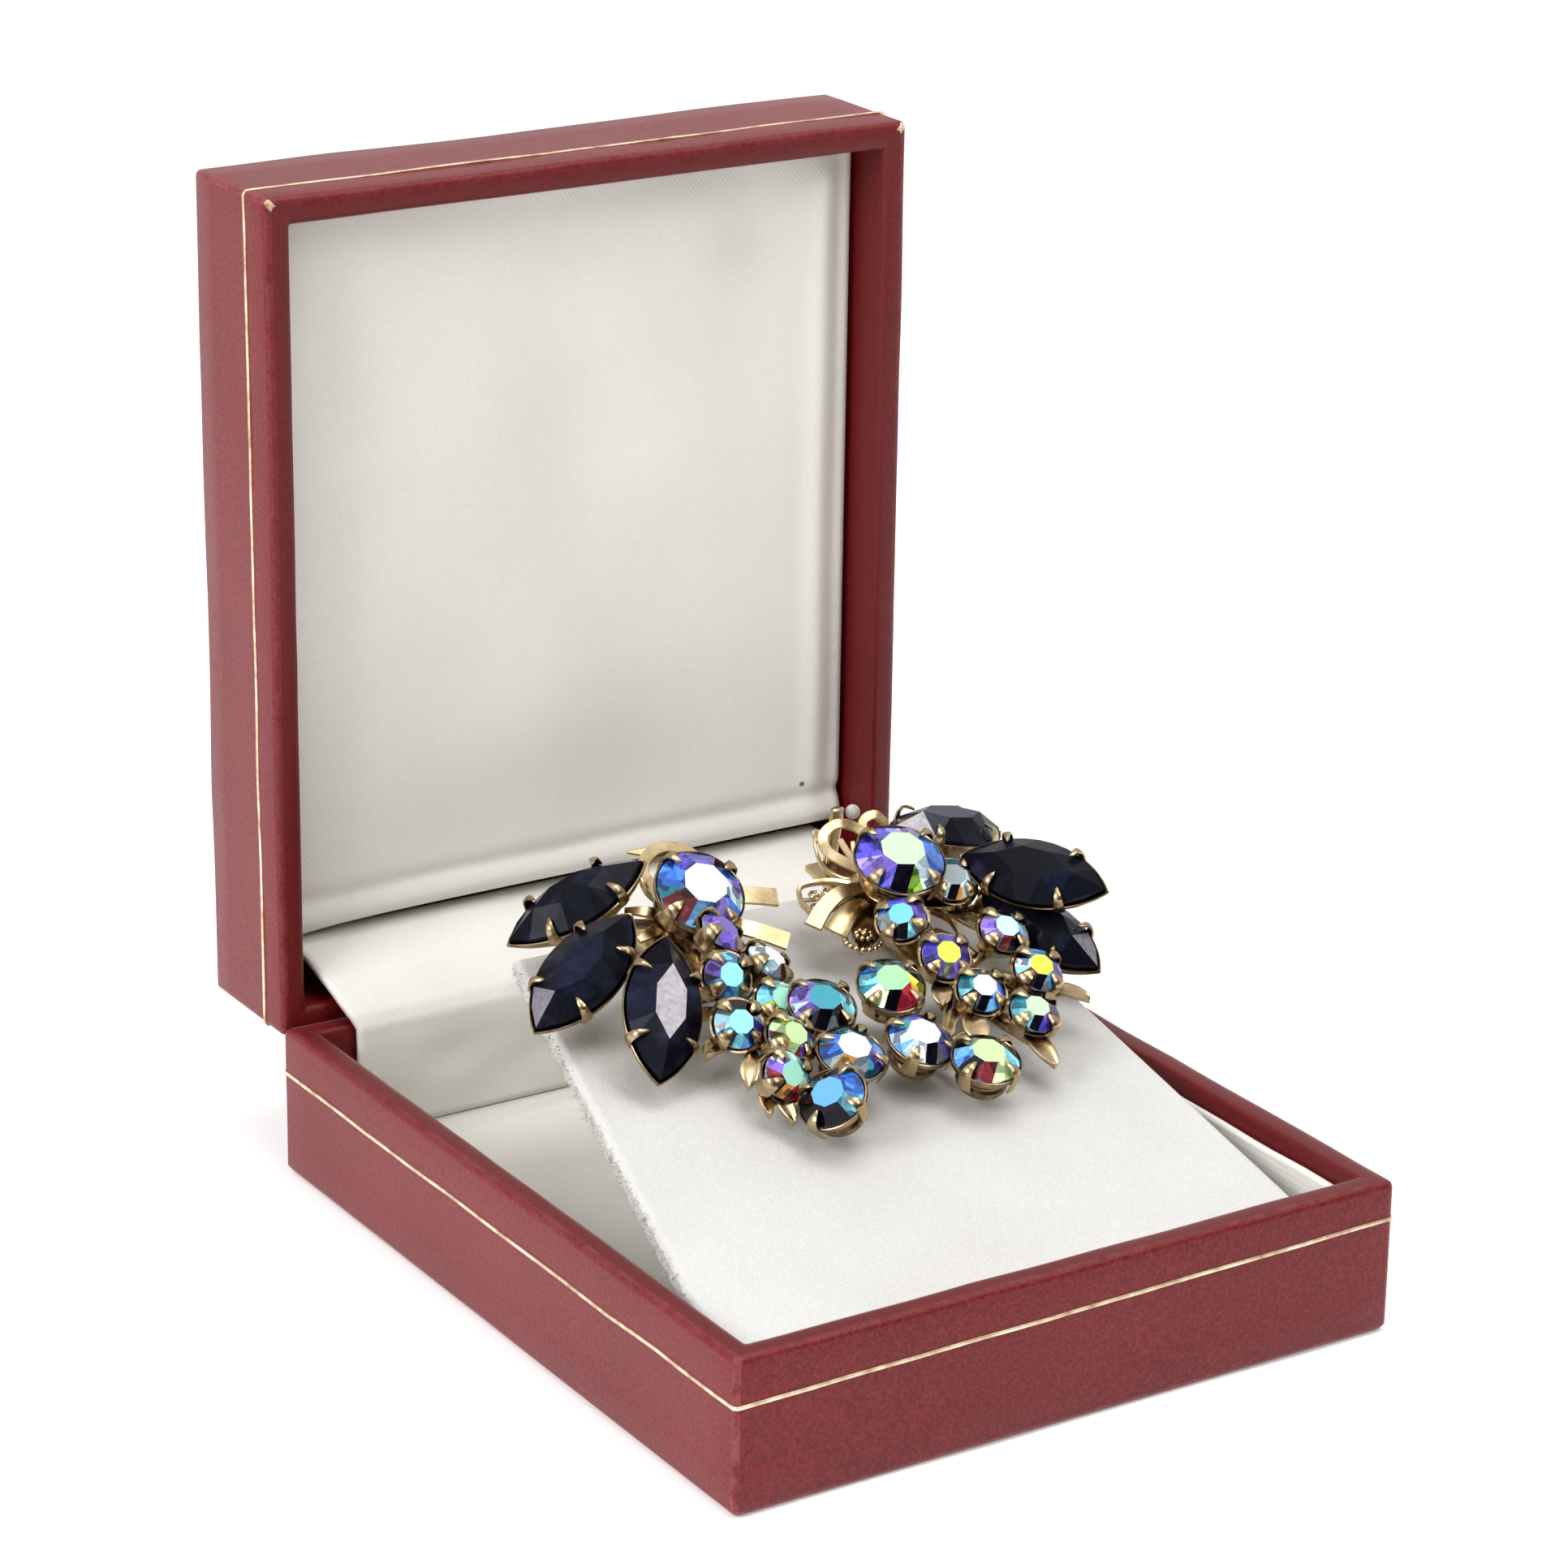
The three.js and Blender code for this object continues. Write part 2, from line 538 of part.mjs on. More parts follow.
// The soldered metal of one earring, less a pocket round each stone
function makeMetal(side, stones, skeleton, petals, bow) {
  const solids = [];
  const add = (geometry, place) => solids.push(toSolid(place ? geometry.clone().applyMatrix4(place) : geometry));
  for (const stone of stones) {
    const place = placeOf(stone);
    const { parts, depth } = stone.kind === 'navette' ? navetteSetting() : roundSetting(stone.kind);
    for (const geometry of parts) add(geometry, place);
    const foot = new THREE.Vector3(0, 0, -depth + 0.3).applyMatrix4(place);
    add(rod(foot.toArray(), skeleton.points[skeleton.hangers[stone.name]], STEM_RADIUS));
  }
  for (const [from, to] of skeleton.vines) {
    add(rod(skeleton.points[from], skeleton.points[to], STEM_RADIUS * 1.3));
  }
  for (const point of Object.values(skeleton.points)) {
    const bead = new THREE.SphereGeometry(STEM_RADIUS * 1.5, 5, 3);
    bead.translate(...point);
    add(bead);
  }
  for (const row of petals) {
    add(petal(row));
    const nearest = Object.values(skeleton.points).map((point) => new THREE.Vector3(...point))
      .sort((a, b) => a.distanceTo(new THREE.Vector3(row.x, row.q, row.h))
        - b.distanceTo(new THREE.Vector3(row.x, row.q, row.h)))[0];
    add(rod([row.x, row.q, row.h], nearest.toArray(), STEM_RADIUS * 0.8));
  }
  const knot = new THREE.SphereGeometry(bow.knot.radius, 6, 4);
  knot.scale(1, 1, 0.6);
  knot.translate(bow.knot.x, bow.knot.q, bow.knot.h);
  add(knot);
  add(rod([bow.knot.x, bow.knot.q, bow.knot.h], skeleton.points.hub, STEM_RADIUS * 1.3));
  for (const loop of bow.loops) {
    add(bowLoop(loop));
    const reach = (loop.outer + loop.inner) / 2;
    const foot = new THREE.Vector3(0, -reach, 0).applyMatrix4(placeOf(loop));
    add(rod(foot.toArray(), [bow.knot.x, bow.knot.q, bow.knot.h], STEM_RADIUS));
  }
  for (const tail of bow.tails) {
    for (const slab of ribbonTail(tail)) add(slab);
    add(rod(tail.from, [bow.knot.x, bow.knot.q, bow.knot.h], STEM_RADIUS));
  }
  let metal = join(solids);
  for (const stone of stones) {
    const pocket = new ConvexGeometry(pocketPoints(stone.kind)).applyMatrix4(placeOf(stone));
    metal = metal.subtract(toSolid(pocket));
  }
  const bodies = metal.simplify(SLIVER).decompose().sort((a, b) => b.volume() - a.volume());
  return piece(`${side}_metal`, toGeometry(bodies[0]), GOLD);
}

function makeClip(side, parts) {
  const { x, front, back, hub_q: hub, top } = CLIPS[side];
  const half = CLIP_WIDTH / 2;
  const solids = [
    block([x - half, front, GAP], [x + half, back, GAP + CLIP_SHEET]),
    block([x - 1.4, hub - 4, GAP], [x + 1.4, hub + 4, top]),
    ...parts,
  ].map(toSolid);
  return join(solids);
}

const object = new THREE.Group();
object.add(...makeBase(), makeLid(), makeSatin());

const padGroup = new THREE.Group();
padGroup.position.set(0, PAD_FRONT_Y, PAD_FRONT_Z);
padGroup.rotation.x = PAD_SLOPE;
object.add(padGroup, makePad(padGroup));

const EARRINGS = {
  left: [LEFT_STONES, LEFT_SKELETON, LEFT_PETALS, LEFT_BOW],
  right: [RIGHT_STONES, RIGHT_SKELETON, RIGHT_PETALS, RIGHT_BOW],
};
for (const [side, [stones, skeleton, petals, bow]] of Object.entries(EARRINGS)) {
  padGroup.add(makeMetal(side, stones, skeleton, petals, bow));
  for (const stone of stones) padGroup.add(makeStone(side, stone));
}

const lever = block(
  [LEVER.x - LEVER.width / 2, LEVER.q, GAP],
  [LEVER.x + LEVER.width / 2, LEVER.q + CLIP_SHEET, LEVER.height]);
const foot = block([CLIPS.right.x, CLIPS.right.back - 1, GAP], [LEVER.x + LEVER.width / 2, LEVER.q + CLIP_SHEET, GAP + CLIP_SHEET]);
padGroup.add(piece('left_clip', toGeometry(makeClip('left', [])), GOLD));
padGroup.add(piece('right_clip', toGeometry(makeClip('right', [lever, foot])), GOLD));
const cushion = new THREE.SphereGeometry(CUSHION.radius, 8, 5);
cushion.translate(CUSHION.x, CUSHION.q, CUSHION.h);
padGroup.add(piece('right_clip_cushion', cushion, RUBBER));

export default object;
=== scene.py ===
"""Pair of rhinestone cluster clip earrings on the pad of an open leatherette jewel box."""

import random
from math import asin, atan, cos, dist, exp, pi, radians, sin, sqrt

import bpy
from mathutils import Matrix, Vector, noise


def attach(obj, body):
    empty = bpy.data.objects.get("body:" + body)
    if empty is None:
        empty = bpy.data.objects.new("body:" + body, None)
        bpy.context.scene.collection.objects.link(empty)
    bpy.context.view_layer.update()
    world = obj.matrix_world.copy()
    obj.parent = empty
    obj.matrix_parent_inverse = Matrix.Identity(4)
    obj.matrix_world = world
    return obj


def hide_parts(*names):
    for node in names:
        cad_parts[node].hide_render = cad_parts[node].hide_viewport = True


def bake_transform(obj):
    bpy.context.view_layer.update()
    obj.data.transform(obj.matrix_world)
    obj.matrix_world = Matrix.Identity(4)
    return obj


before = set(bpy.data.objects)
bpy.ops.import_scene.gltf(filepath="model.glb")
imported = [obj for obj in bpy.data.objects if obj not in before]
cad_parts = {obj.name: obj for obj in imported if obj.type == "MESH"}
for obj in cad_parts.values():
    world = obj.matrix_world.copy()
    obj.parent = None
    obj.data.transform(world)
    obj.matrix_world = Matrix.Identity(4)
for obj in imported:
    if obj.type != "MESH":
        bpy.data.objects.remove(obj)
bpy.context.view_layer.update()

MM = 0.001
random.seed(7)

# Sizes in millimetres, as the frame has them
HALF_WIDTH = 45.0
HALF_DEPTH = 52.8
BASE_HEIGHT = 19.0
LID_THICKNESS = 18.8
TRAY_WALL = 3.3
TRAY_FLOOR = 2.2
CORNER_RADIUS = 0.7
LID_BACK_Y = 71.9
LID_MIDDLE_Z = 70.4
PAD_SLOPE = atan(0.2)
PAD_FRONT = Vector((0.0, -HALF_DEPTH + 3.0, 15.0))
PAD_NEAR = 0.8
PAD_FAR = 83.6
PAD_THICKNESS = 2.4
FIBRES = 700
SHARP_DEGREES = 38
PIN_HOLE = Vector((34.8, 59.2, 34.45))
ON_PAD = Matrix.Translation(PAD_FRONT) @ Matrix.Rotation(PAD_SLOPE, 4, "X")
ON_LID = Matrix.Translation((0.0, LID_BACK_Y, LID_MIDDLE_Z)) @ Matrix.Rotation(pi / 2, 4, "X")


# Small helpers
def between(a, b, t):
    """The number at this share of the way from a to b."""
    return a * (1 - t) + b * t


def eased(k, steps):
    """Steps from 0 to 1 that lie closer together near both ends."""
    return 0.5 - 0.5 * cos(pi * k / steps)


def neighbours(points, k, ahead=1):
    """The points before and after one of a row, which ends at its first and last."""
    return points[max(k - 1, 0)], points[min(k + ahead, len(points) - 1)]


def wander(point, scale, amount, seed=0.0):
    """A slow, repeatable wobble of up to amount at a point."""
    return noise.noise(Vector(point) * scale + Vector((seed, seed * 1.7, -seed))) * amount


def spin(axis, degrees):
    return Matrix.Rotation(radians(degrees), 4, axis)


def circle(radius, angle, z):
    return Vector((radius * cos(angle), radius * sin(angle), z))


def add_object(name, data):
    thing = bpy.data.objects.new(name, data)
    bpy.context.scene.collection.objects.link(thing)
    return thing


# Camera, fitted to the eight visible corners of the box
CAMERA_LENS = 113.08
CAMERA_PLACE = Vector((-296.83, -451.83, 256.66))
CAMERA_FORWARD = Vector((0.50835, 0.79001, -0.34272)).normalized()
CAMERA_RIGHT = Vector((0.84094, -0.54112, 0.0)).normalized()
CAMERA_ROLL = 0.905


def make_camera():
    data = bpy.data.cameras.new("camera")
    data.lens = CAMERA_LENS
    data.sensor_width = 36.0
    data.sensor_height = 36.0
    data.sensor_fit = "HORIZONTAL"
    data.clip_start = 0.01
    data.clip_end = 10.0
    up = CAMERA_RIGHT.cross(CAMERA_FORWARD)
    level, roll = cos(radians(CAMERA_ROLL)), sin(radians(CAMERA_ROLL))
    axes = Matrix((CAMERA_RIGHT * level + up * roll, up * level - CAMERA_RIGHT * roll, -CAMERA_FORWARD))
    camera = add_object("camera", data)
    camera.matrix_world = Matrix.Translation(CAMERA_PLACE * MM) @ axes.transposed().to_4x4()
    bpy.context.scene.camera = camera


# Mesh helpers: all shapes are worked out in millimetres
class Shape:
    """Points and faces that several forms are added to, each with a tint and its shading."""

    def __init__(self):
        self.points = []
        self.faces = []
        self.tints = []
        self.smooth = []

    def point(self, x, y, z):
        """Adds a point and gives its number."""
        self.points.append(Vector((x, y, z)))
        return len(self.points) - 1

    def face(self, loop, tint=0, smooth=True):
        self.faces.append(tuple(loop))
        self.tints.append(tint)
        self.smooth.append(smooth)

    def facet(self, loop, color, forward=True):
        self.face(loop if forward else reversed(loop), color, False)

    def add(self, points, faces, place=None, tint=0, smooth=True):
        first = len(self.points)
        self.points += [place @ Vector(p) if place else Vector(p) for p in points]
        for face in faces:
            self.face((first + i for i in face), tint, smooth)

    def loft(self, rings, place=None, closed_rings=True, caps=(True, True), tint=0, smooth=True):
        """A skin over rings of as many points each, with a cap over the first and the last."""
        count = len(rings[0])
        faces = []
        for k in range(len(rings) - 1):
            for i in range(count if closed_rings else count - 1):
                j = (i + 1) % count
                faces.append((k * count + i, k * count + j, (k + 1) * count + j, (k + 1) * count + i))
        if caps[0]:
            faces.append(reversed(range(count)))
        if caps[1]:
            last = (len(rings) - 1) * count
            faces.append(range(last, last + count))
        self.add([p for ring in rings for p in ring], faces, place, tint, smooth)

    def build(self, name, material, body="root", stands_for=None, slot=None, place=None):
        """Makes the piece in metres, hangs it on its body's empty and hides the part it stands for."""
        place = place or Matrix.Identity(4)
        mesh = bpy.data.meshes.new(name)
        mesh.from_pydata([(place @ p) * MM for p in self.points], [], self.faces)
        mesh.validate()
        mesh.materials.append(material)
        for polygon, smooth in zip(mesh.polygons, self.smooth):
            polygon.use_smooth = smooth
        piece = add_object(name, mesh)
        if body:
            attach(piece, body)
        if stands_for:
            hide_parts(stands_for)
        return piece


def rounded_ring(width, depth, radius, z, corner_steps=5, side_steps=20):
    """Points round a rounded rectangle, anticlockwise from its front right corner."""
    w, d = width / 2 - radius, depth / 2 - radius
    arcs = []
    for x, y, start in ((w, -d, -90), (w, d, 0), (-w, d, 90), (-w, -d, 180)):
        angles = [radians(start + 90 * i / corner_steps) for i in range(corner_steps + 1)]
        arcs.append([Vector((x, y, 0)) + circle(radius, angle, z) for angle in angles])
    points = []
    for arc, following in zip(arcs, arcs[1:] + arcs[:1]):
        points += arc
        points += [arc[-1].lerp(following[0], i / side_steps) for i in range(1, side_steps)]
    return points


def paint(piece, name, values):
    """Stores one number or colour for each face, on its corners."""
    attribute = piece.data.attributes.new(name, "FLOAT_COLOR", "CORNER")
    for polygon, value in zip(piece.data.polygons, values):
        color = value if isinstance(value, tuple) else (value, value, value)
        for corner in polygon.loop_indices:
            attribute.data[corner].color = (*color, 1.0)


# Material helpers
class Nodes:
    """A new material and short ways to fill its node tree."""

    def __init__(self, name):
        self.material = bpy.data.materials.new(name)
        self.material.use_nodes = True
        self.tree = self.material.node_tree
        self.shader = self.tree.nodes["Principled BSDF"]
        self.coords = self.tree.nodes.new("ShaderNodeTexCoord").outputs["Object"]

    def feed(self, socket, value):
        if isinstance(value, bpy.types.NodeSocket):
            self.tree.links.new(value, socket)
        else:
            socket.default_value = value

    def node(self, kind, inputs=None, **settings):
        node = self.tree.nodes.new("ShaderNode" + kind)
        for key, value in settings.items():
            setattr(node, key, value)
        for key, value in (inputs or {}).items():
            self.feed(node.inputs[key], value)
        return node

    def set(self, **values):
        for key, value in values.items():
            self.feed(self.shader.inputs[key.replace("_", " ")], value)

    def attribute(self, name, output="Fac"):
        return self.node("Attribute", attribute_name=name).outputs[output]

    def noise(self, scale, detail=3.0, roughness=0.5):
        inputs = {"Vector": self.coords, "Scale": scale, "Detail": detail, "Roughness": roughness}
        return self.node("TexNoise", inputs).outputs["Fac"]

    def ramp(self, fac, *stops):
        """Colours, or greys given as one number, at their positions."""
        node = self.node("ValToRGB", {"Fac": fac})
        elements = node.color_ramp.elements
        while len(elements) < len(stops):
            elements.new(0.5)
        for element, (position, color) in zip(elements, stops):
            element.position = position
            element.color = (*color, 1.0) if isinstance(color, tuple) else (color, color, color, 1.0)
        return node.outputs["Color"]

    def mix(self, fac, a, b, blend="MIX"):
        a, b = ((*value, 1.0) if isinstance(value, tuple) else value for value in (a, b))
        return self.node("Mix", {0: fac, 6: a, 7: b}, data_type="RGBA", blend_type=blend).outputs[2]

    def math(self, operation, a, b):
        return self.node("Math", {0: a, 1: b}, operation=operation).outputs[0]

    def bump(self, height, strength, distance):
        inputs = {"Height": height, "Strength": strength, "Distance": distance}
        self.set(Normal=self.node("Bump", inputs).outputs["Normal"])


def leatherette():
    n = Nodes("burgundy_leatherette")
    fine = n.noise(2400.0)
    cells = n.node("TexVoronoi", {"Scale": 2300.0, "Vector": n.coords}, feature="DISTANCE_TO_EDGE")
    color = n.ramp(n.noise(60.0, 4.0), (0.3, (0.135, 0.004, 0.006)), (0.7, (0.18, 0.006, 0.009)))
    color = n.mix(0.5, color, n.ramp(fine, (0.35, (0.06, 0.002, 0.004)), (0.7, (0.3, 0.026, 0.03))))
    ragged = n.ramp(n.noise(420.0, 5.0, 0.65), (0.38, 0.0), (0.62, 1.0))
    # Pinkish patches: wear on the bottom edge and the corners, and along the rim's edge a painted highlight
    # that stands for its sheen
    color = n.mix(n.math("MULTIPLY", n.attribute("wear_and_sheen"), ragged), color, (0.42, 0.15, 0.15))
    # Painted shade: the rim top and the inside of the wall are darkened to a deeper red, where they catch
    # less sheen
    color = n.mix(n.attribute("rim_shade"), color, (0.1, 0.001, 0.002))
    color = n.mix(n.math("MULTIPLY", n.attribute("bare"), ragged), color, (0.8, 0.66, 0.42))
    n.set(Base_Color=color, Roughness=0.42, Specular_IOR_Level=0.3)
    n.set(Sheen_Weight=0.26, Sheen_Roughness=0.3, Sheen_Tint=(1.0, 0.72, 0.7, 1.0))
    pores = n.math("MULTIPLY", cells.outputs["Distance"], 0.8)
    n.bump(n.math("ADD", pores, n.math("MULTIPLY", fine, 0.6)), 0.35, 0.00012)
    return n.material


def satin():
    n = Nodes("white_satin")
    slanted = n.node("Mapping", {"Vector": n.coords, "Rotation": (0.0, radians(35), 0.0)})
    threads = {"Vector": slanted.outputs["Vector"], "Scale": 640.0, "Distortion": 1.5, "Detail": 2.0}
    weave = n.node("TexWave", threads, bands_direction="X").outputs["Fac"]
    speck = n.noise(2500.0, 2.0)
    color = n.ramp(n.noise(25.0), (0.3, (0.73, 0.71, 0.655)), (0.7, (0.8, 0.78, 0.725)))
    color = n.mix(0.1, color, n.ramp(speck, (0.3, (0.62, 0.6, 0.56)), (0.7, (0.95, 0.94, 0.92))))
    # Painted shade: a small dark spot on the lining stands for the shade inside the pin hole
    away = n.node("VectorMath", {0: n.coords, 1: PIN_HOLE * MM}, operation="DISTANCE").outputs["Value"]
    pin_hole_shade = n.ramp(n.math("MULTIPLY", away, 1 / MM), (0.2, 1.0), (0.5, 0.0))
    color = n.mix(pin_hole_shade, color, (0.12, 0.11, 0.1))
    n.set(Base_Color=color, Roughness=0.5, Specular_IOR_Level=0.4, Sheen_Weight=0.2, Sheen_Roughness=0.4)
    n.bump(n.math("ADD", n.math("MULTIPLY", weave, 0.8), n.math("MULTIPLY", speck, 0.6)), 0.2, 0.0001)
    return n.material


def velvet():
    n = Nodes("white_velvet")
    fibre = n.noise(3200.0, 2.0)
    color = n.ramp(n.noise(38.0, 4.0), (0.3, (0.58, 0.565, 0.54)), (0.7, (0.66, 0.65, 0.63)))
    color = n.mix(0.16, color, n.ramp(fibre, (0.3, (0.45, 0.43, 0.41)), (0.7, (0.9, 0.89, 0.87))))
    n.set(Base_Color=color, Roughness=0.95, Specular_IOR_Level=0.15, Sheen_Weight=0.5, Sheen_Roughness=0.5)
    n.bump(n.math("ADD", fibre, n.math("MULTIPLY", n.noise(600.0), 1.2)), 0.5, 0.0002)
    return n.material


def gold():
    """Antique brass: bright where it is rubbed, brown in the hollows and on the older parts."""
    n = Nodes("antique_gold")
    shade = n.node("AmbientOcclusion", {"Distance": 0.0014}, samples=8).outputs["AO"]
    patches = n.noise(420.0, 3.0, 0.6)
    bright = n.ramp(patches, (0.35, (0.58, 0.42, 0.22)), (0.65, (0.76, 0.6, 0.36)))
    dark = n.ramp(n.noise(900.0, 2.0), (0.3, (0.085, 0.05, 0.026)), (0.7, (0.24, 0.16, 0.085)))
    hollow = n.ramp(shade, (0.25, 1.0), (0.92, 0.0))
    tarnish = n.math("MULTIPLY", n.attribute("age"), n.ramp(patches, (0.36, 0.5), (0.58, 1.0)))
    n.set(Base_Color=n.mix(n.math("MAXIMUM", hollow, tarnish), bright, dark), Metallic=1.0)
    n.set(Roughness=n.ramp(patches, (0.3, 0.2), (0.75, 0.34)))
    n.bump(n.noise(500.0, 2.0), 0.1, 0.00008)
    return n.material


def thin_gold():
    n = Nodes("gold_line")
    color = n.ramp(n.noise(500.0, 4.0), (0.32, (0.5, 0.33, 0.2)), (0.6, (0.93, 0.78, 0.56)))
    n.set(Base_Color=color, Metallic=0.75, Roughness=0.38)
    return n.material


def aurora_glass():
    """Coated crystal: each facet's colour, partly the coating's own and partly painted reflection, broken
    into small painted bright and dark inner reflections.
    """
    n = Nodes("aurora_glass")
    tint = n.attribute("tint", "Color")
    cells = n.node("TexVoronoi", {"Scale": 820.0, "Vector": n.coords}).outputs["Color"]
    # Painted glints: bright and dark cells on every facet but the table stand for inner reflections
    glints = (0.25, (0.25, 0.25, 0.3)), (0.42, 0.75), (0.62, 1.05), (0.8, (1.9, 1.8, 1.8))
    light = n.ramp(n.node("RGBToBW", {"Color": cells}).outputs["Val"], *glints)
    fine = n.ramp(n.noise(2600.0, 2.0), (0.35, 0.8), (0.65, 1.1))
    broken = n.mix(1.0, tint, n.mix(1.0, light, fine, "MULTIPLY"), "MULTIPLY")
    n.set(Base_Color=n.mix(n.attribute("cut"), tint, broken), Roughness=0.1, Metallic=0.1)
    n.set(Coat_Weight=0.35, Coat_Roughness=0.05, Coat_IOR=1.5, Specular_IOR_Level=0.3)
    return n.material


def navy_glass():
    """Near-black blue glass with painted cloudy indigo and violet sheen inside."""
    n = Nodes("navy_glass")
    # Painted sheen: cloudy patches lighten the glass towards indigo and violet
    sheen_clouds = n.ramp(n.noise(300.0, 4.0, 0.6), (0.54, 0.0), (0.74, 1.0))
    hue = n.ramp(n.noise(420.0, 2.0), (0.4, (0.014, 0.022, 0.06)), (0.6, (0.034, 0.026, 0.06)))
    mottle = n.ramp(n.noise(1500.0), (0.3, 0.75), (0.7, 1.15))
    tint = n.mix(1.0, n.attribute("tint", "Color"), mottle, "MULTIPLY")
    lit = n.mix(n.math("MULTIPLY", sheen_clouds, 0.7), tint, hue, "LIGHTEN")
    n.set(Base_Color=lit, Roughness=0.25, Specular_IOR_Level=0.07)
    return n.material


def plain(name, patches, dark, light, roughness, grain):
    """A matt material with soft patches of two near colours and a fine grain."""
    n = Nodes(name)
    n.set(Base_Color=n.ramp(n.noise(*patches), (0.3, dark), (0.7, light)), Roughness=roughness)
    n.bump(n.noise(grain), 0.2, 0.0001)
    return n.material


LEATHER = leatherette()
SATIN = satin()
VELVET = velvet()
GOLD = gold()
GOLD_LINE = thin_gold()
NAVY_GLASS = navy_glass()
AURORA_GLASS = aurora_glass()
RUBBER = plain("grey_rubber", (900.0, 3.0), (0.3, 0.29, 0.28), (0.55, 0.54, 0.53), 0.55, 2500.0)
CARD = plain("white_card", (300.0, 4.0), (0.6, 0.58, 0.54), (0.7, 0.68, 0.65), 0.85, 1800.0)


# Leatherette trays
def outward(p):
    """The way out of the box at a point of its outline."""
    return Vector((p.x / HALF_WIDTH, p.y / HALF_DEPTH, 0.0))


def tray_piece(name, height, place, body, stands_for, seed):
    """A tray: sections of inset, height and corner radius, from its bottom edge over the rim to the floor."""
    sections = [(1.2, 0.0, 0.4), (0.35, 0.12, 0.6), (0.0, CORNER_RADIUS, CORNER_RADIUS)]
    sections += [(0.0, height * share, CORNER_RADIUS) for share in (0.25, 0.5, 0.75)]
    sections += [
        (0.0, height - 0.8, CORNER_RADIUS), (0.12, height - 0.32, CORNER_RADIUS), (0.42, height - 0.06, 0.65),
        (0.95, height, 0.6), (1.7, height + 0.02, 0.55), (2.5, height, 0.5), (3.05, height - 0.12, 0.45),
        (TRAY_WALL, height - 0.55, 0.4), (TRAY_WALL, height - 3.0, 0.4), (TRAY_WALL, TRAY_FLOOR + 0.02, 0.4),
    ]
    rings = []
    for inset, z, radius in sections:
        ring = rounded_ring(2 * (HALF_WIDTH - inset), 2 * (HALF_DEPTH - inset), radius, z)
        for p in ring if z > 0.3 else ():
            if inset <= 2:
                p += outward(p) * wander(p, 0.055, 0.22, seed)
            p.z += wander(p, 0.12, 0.12, seed + 3)
        rings.append(ring)
    shape = Shape()
    shape.loft(rings)
    piece = shape.build(name, LEATHER, body, stands_for, "burgundy_leatherette", place)
    # Pinkish wear with a painted edge highlight, a deeper red painted as shade on the rim top and inside, and
    # bare corners go by the ring: 0 and 1 the bottom edge, 7 to 9 the rim's edge
    is_lid = body == "lid"
    wear_and_sheen_rings = {0: 0.15, 1: 0.2, 7: 0.12, 8: 0.12 if is_lid else 0.3, 9: 0.08}
    rim_shade_rings = {7: 0.2, 8: 0.4, **dict.fromkeys(range(9, 15), 0.75)}
    corner_reach = 1.3
    wear_and_sheen, rim_shade, bare = [], [], []
    for polygon in piece.data.polygons:
        ring = polygon.index // len(rings[0])
        middle = place.inverted() @ (polygon.center / MM)
        at_corner = min(abs(middle.x) - HALF_WIDTH, abs(middle.y) - HALF_DEPTH) > -corner_reach
        wear_and_sheen.append(max(wear_and_sheen_rings.get(ring, 0.0), 0.3 if at_corner else 0.0))
        rim_shade.append(rim_shade_rings.get(ring, 0.0))
        bare.append(0.9 if at_corner and is_lid and middle.y > 0 and 6 < ring < 10 else 0.0)
    paint(piece, "wear_and_sheen", wear_and_sheen)
    paint(piece, "rim_shade", rim_shade)
    paint(piece, "bare", bare)


def gold_line(name, place, body, levels, seed):
    """A pale foil line pressed round the four sides, at these levels over the four corners."""
    front_left, front_right, back_right, back_left = levels
    rings = []
    for drop, proud in ((-0.24, -0.02), (-0.19, 0.05), (0.19, 0.05), (0.24, -0.02)):
        ring = rounded_ring(2 * HALF_WIDTH, 2 * HALF_DEPTH, CORNER_RADIUS, 0.0)
        for p in ring:
            u, v = (p.x / HALF_WIDTH + 1) / 2, (p.y / HALF_DEPTH + 1) / 2
            level = between(between(front_left, front_right, u), between(back_left, back_right, u), v)
            level += wander(p, 0.09, 0.2, seed) + drop
            p += outward(p) * proud
            p.z = level
            p += outward(p) * (0.1 + abs(wander(p, 0.055, 0.22, seed)) * 0.6)
        rings.append(ring)
    shape = Shape()
    shape.loft(rings, caps=(False, False))
    inner = [[p - outward(p) * 0.4 for p in rings[k]] for k in (3, 0)]
    shape.loft([rings[3], *inner, rings[0]], caps=(False, False))
    shape.build(name, GOLD_LINE, body, place=place)


def make_box():
    flat = Matrix.Identity(4)
    tray_piece("base_leather", BASE_HEIGHT, flat, "root", "base_tray", 1.0)
    tray_piece("lid_leather", LID_THICKNESS, ON_LID, "lid", "lid_shell", 9.0)
    gold_line("base_gold_line", flat, "root", (13.2, 14.3, 14.0, 13.2), 1.0)
    gold_line("lid_gold_line", ON_LID, "lid", (14.1, 14.0, 13.2, 13.4), 9.0)


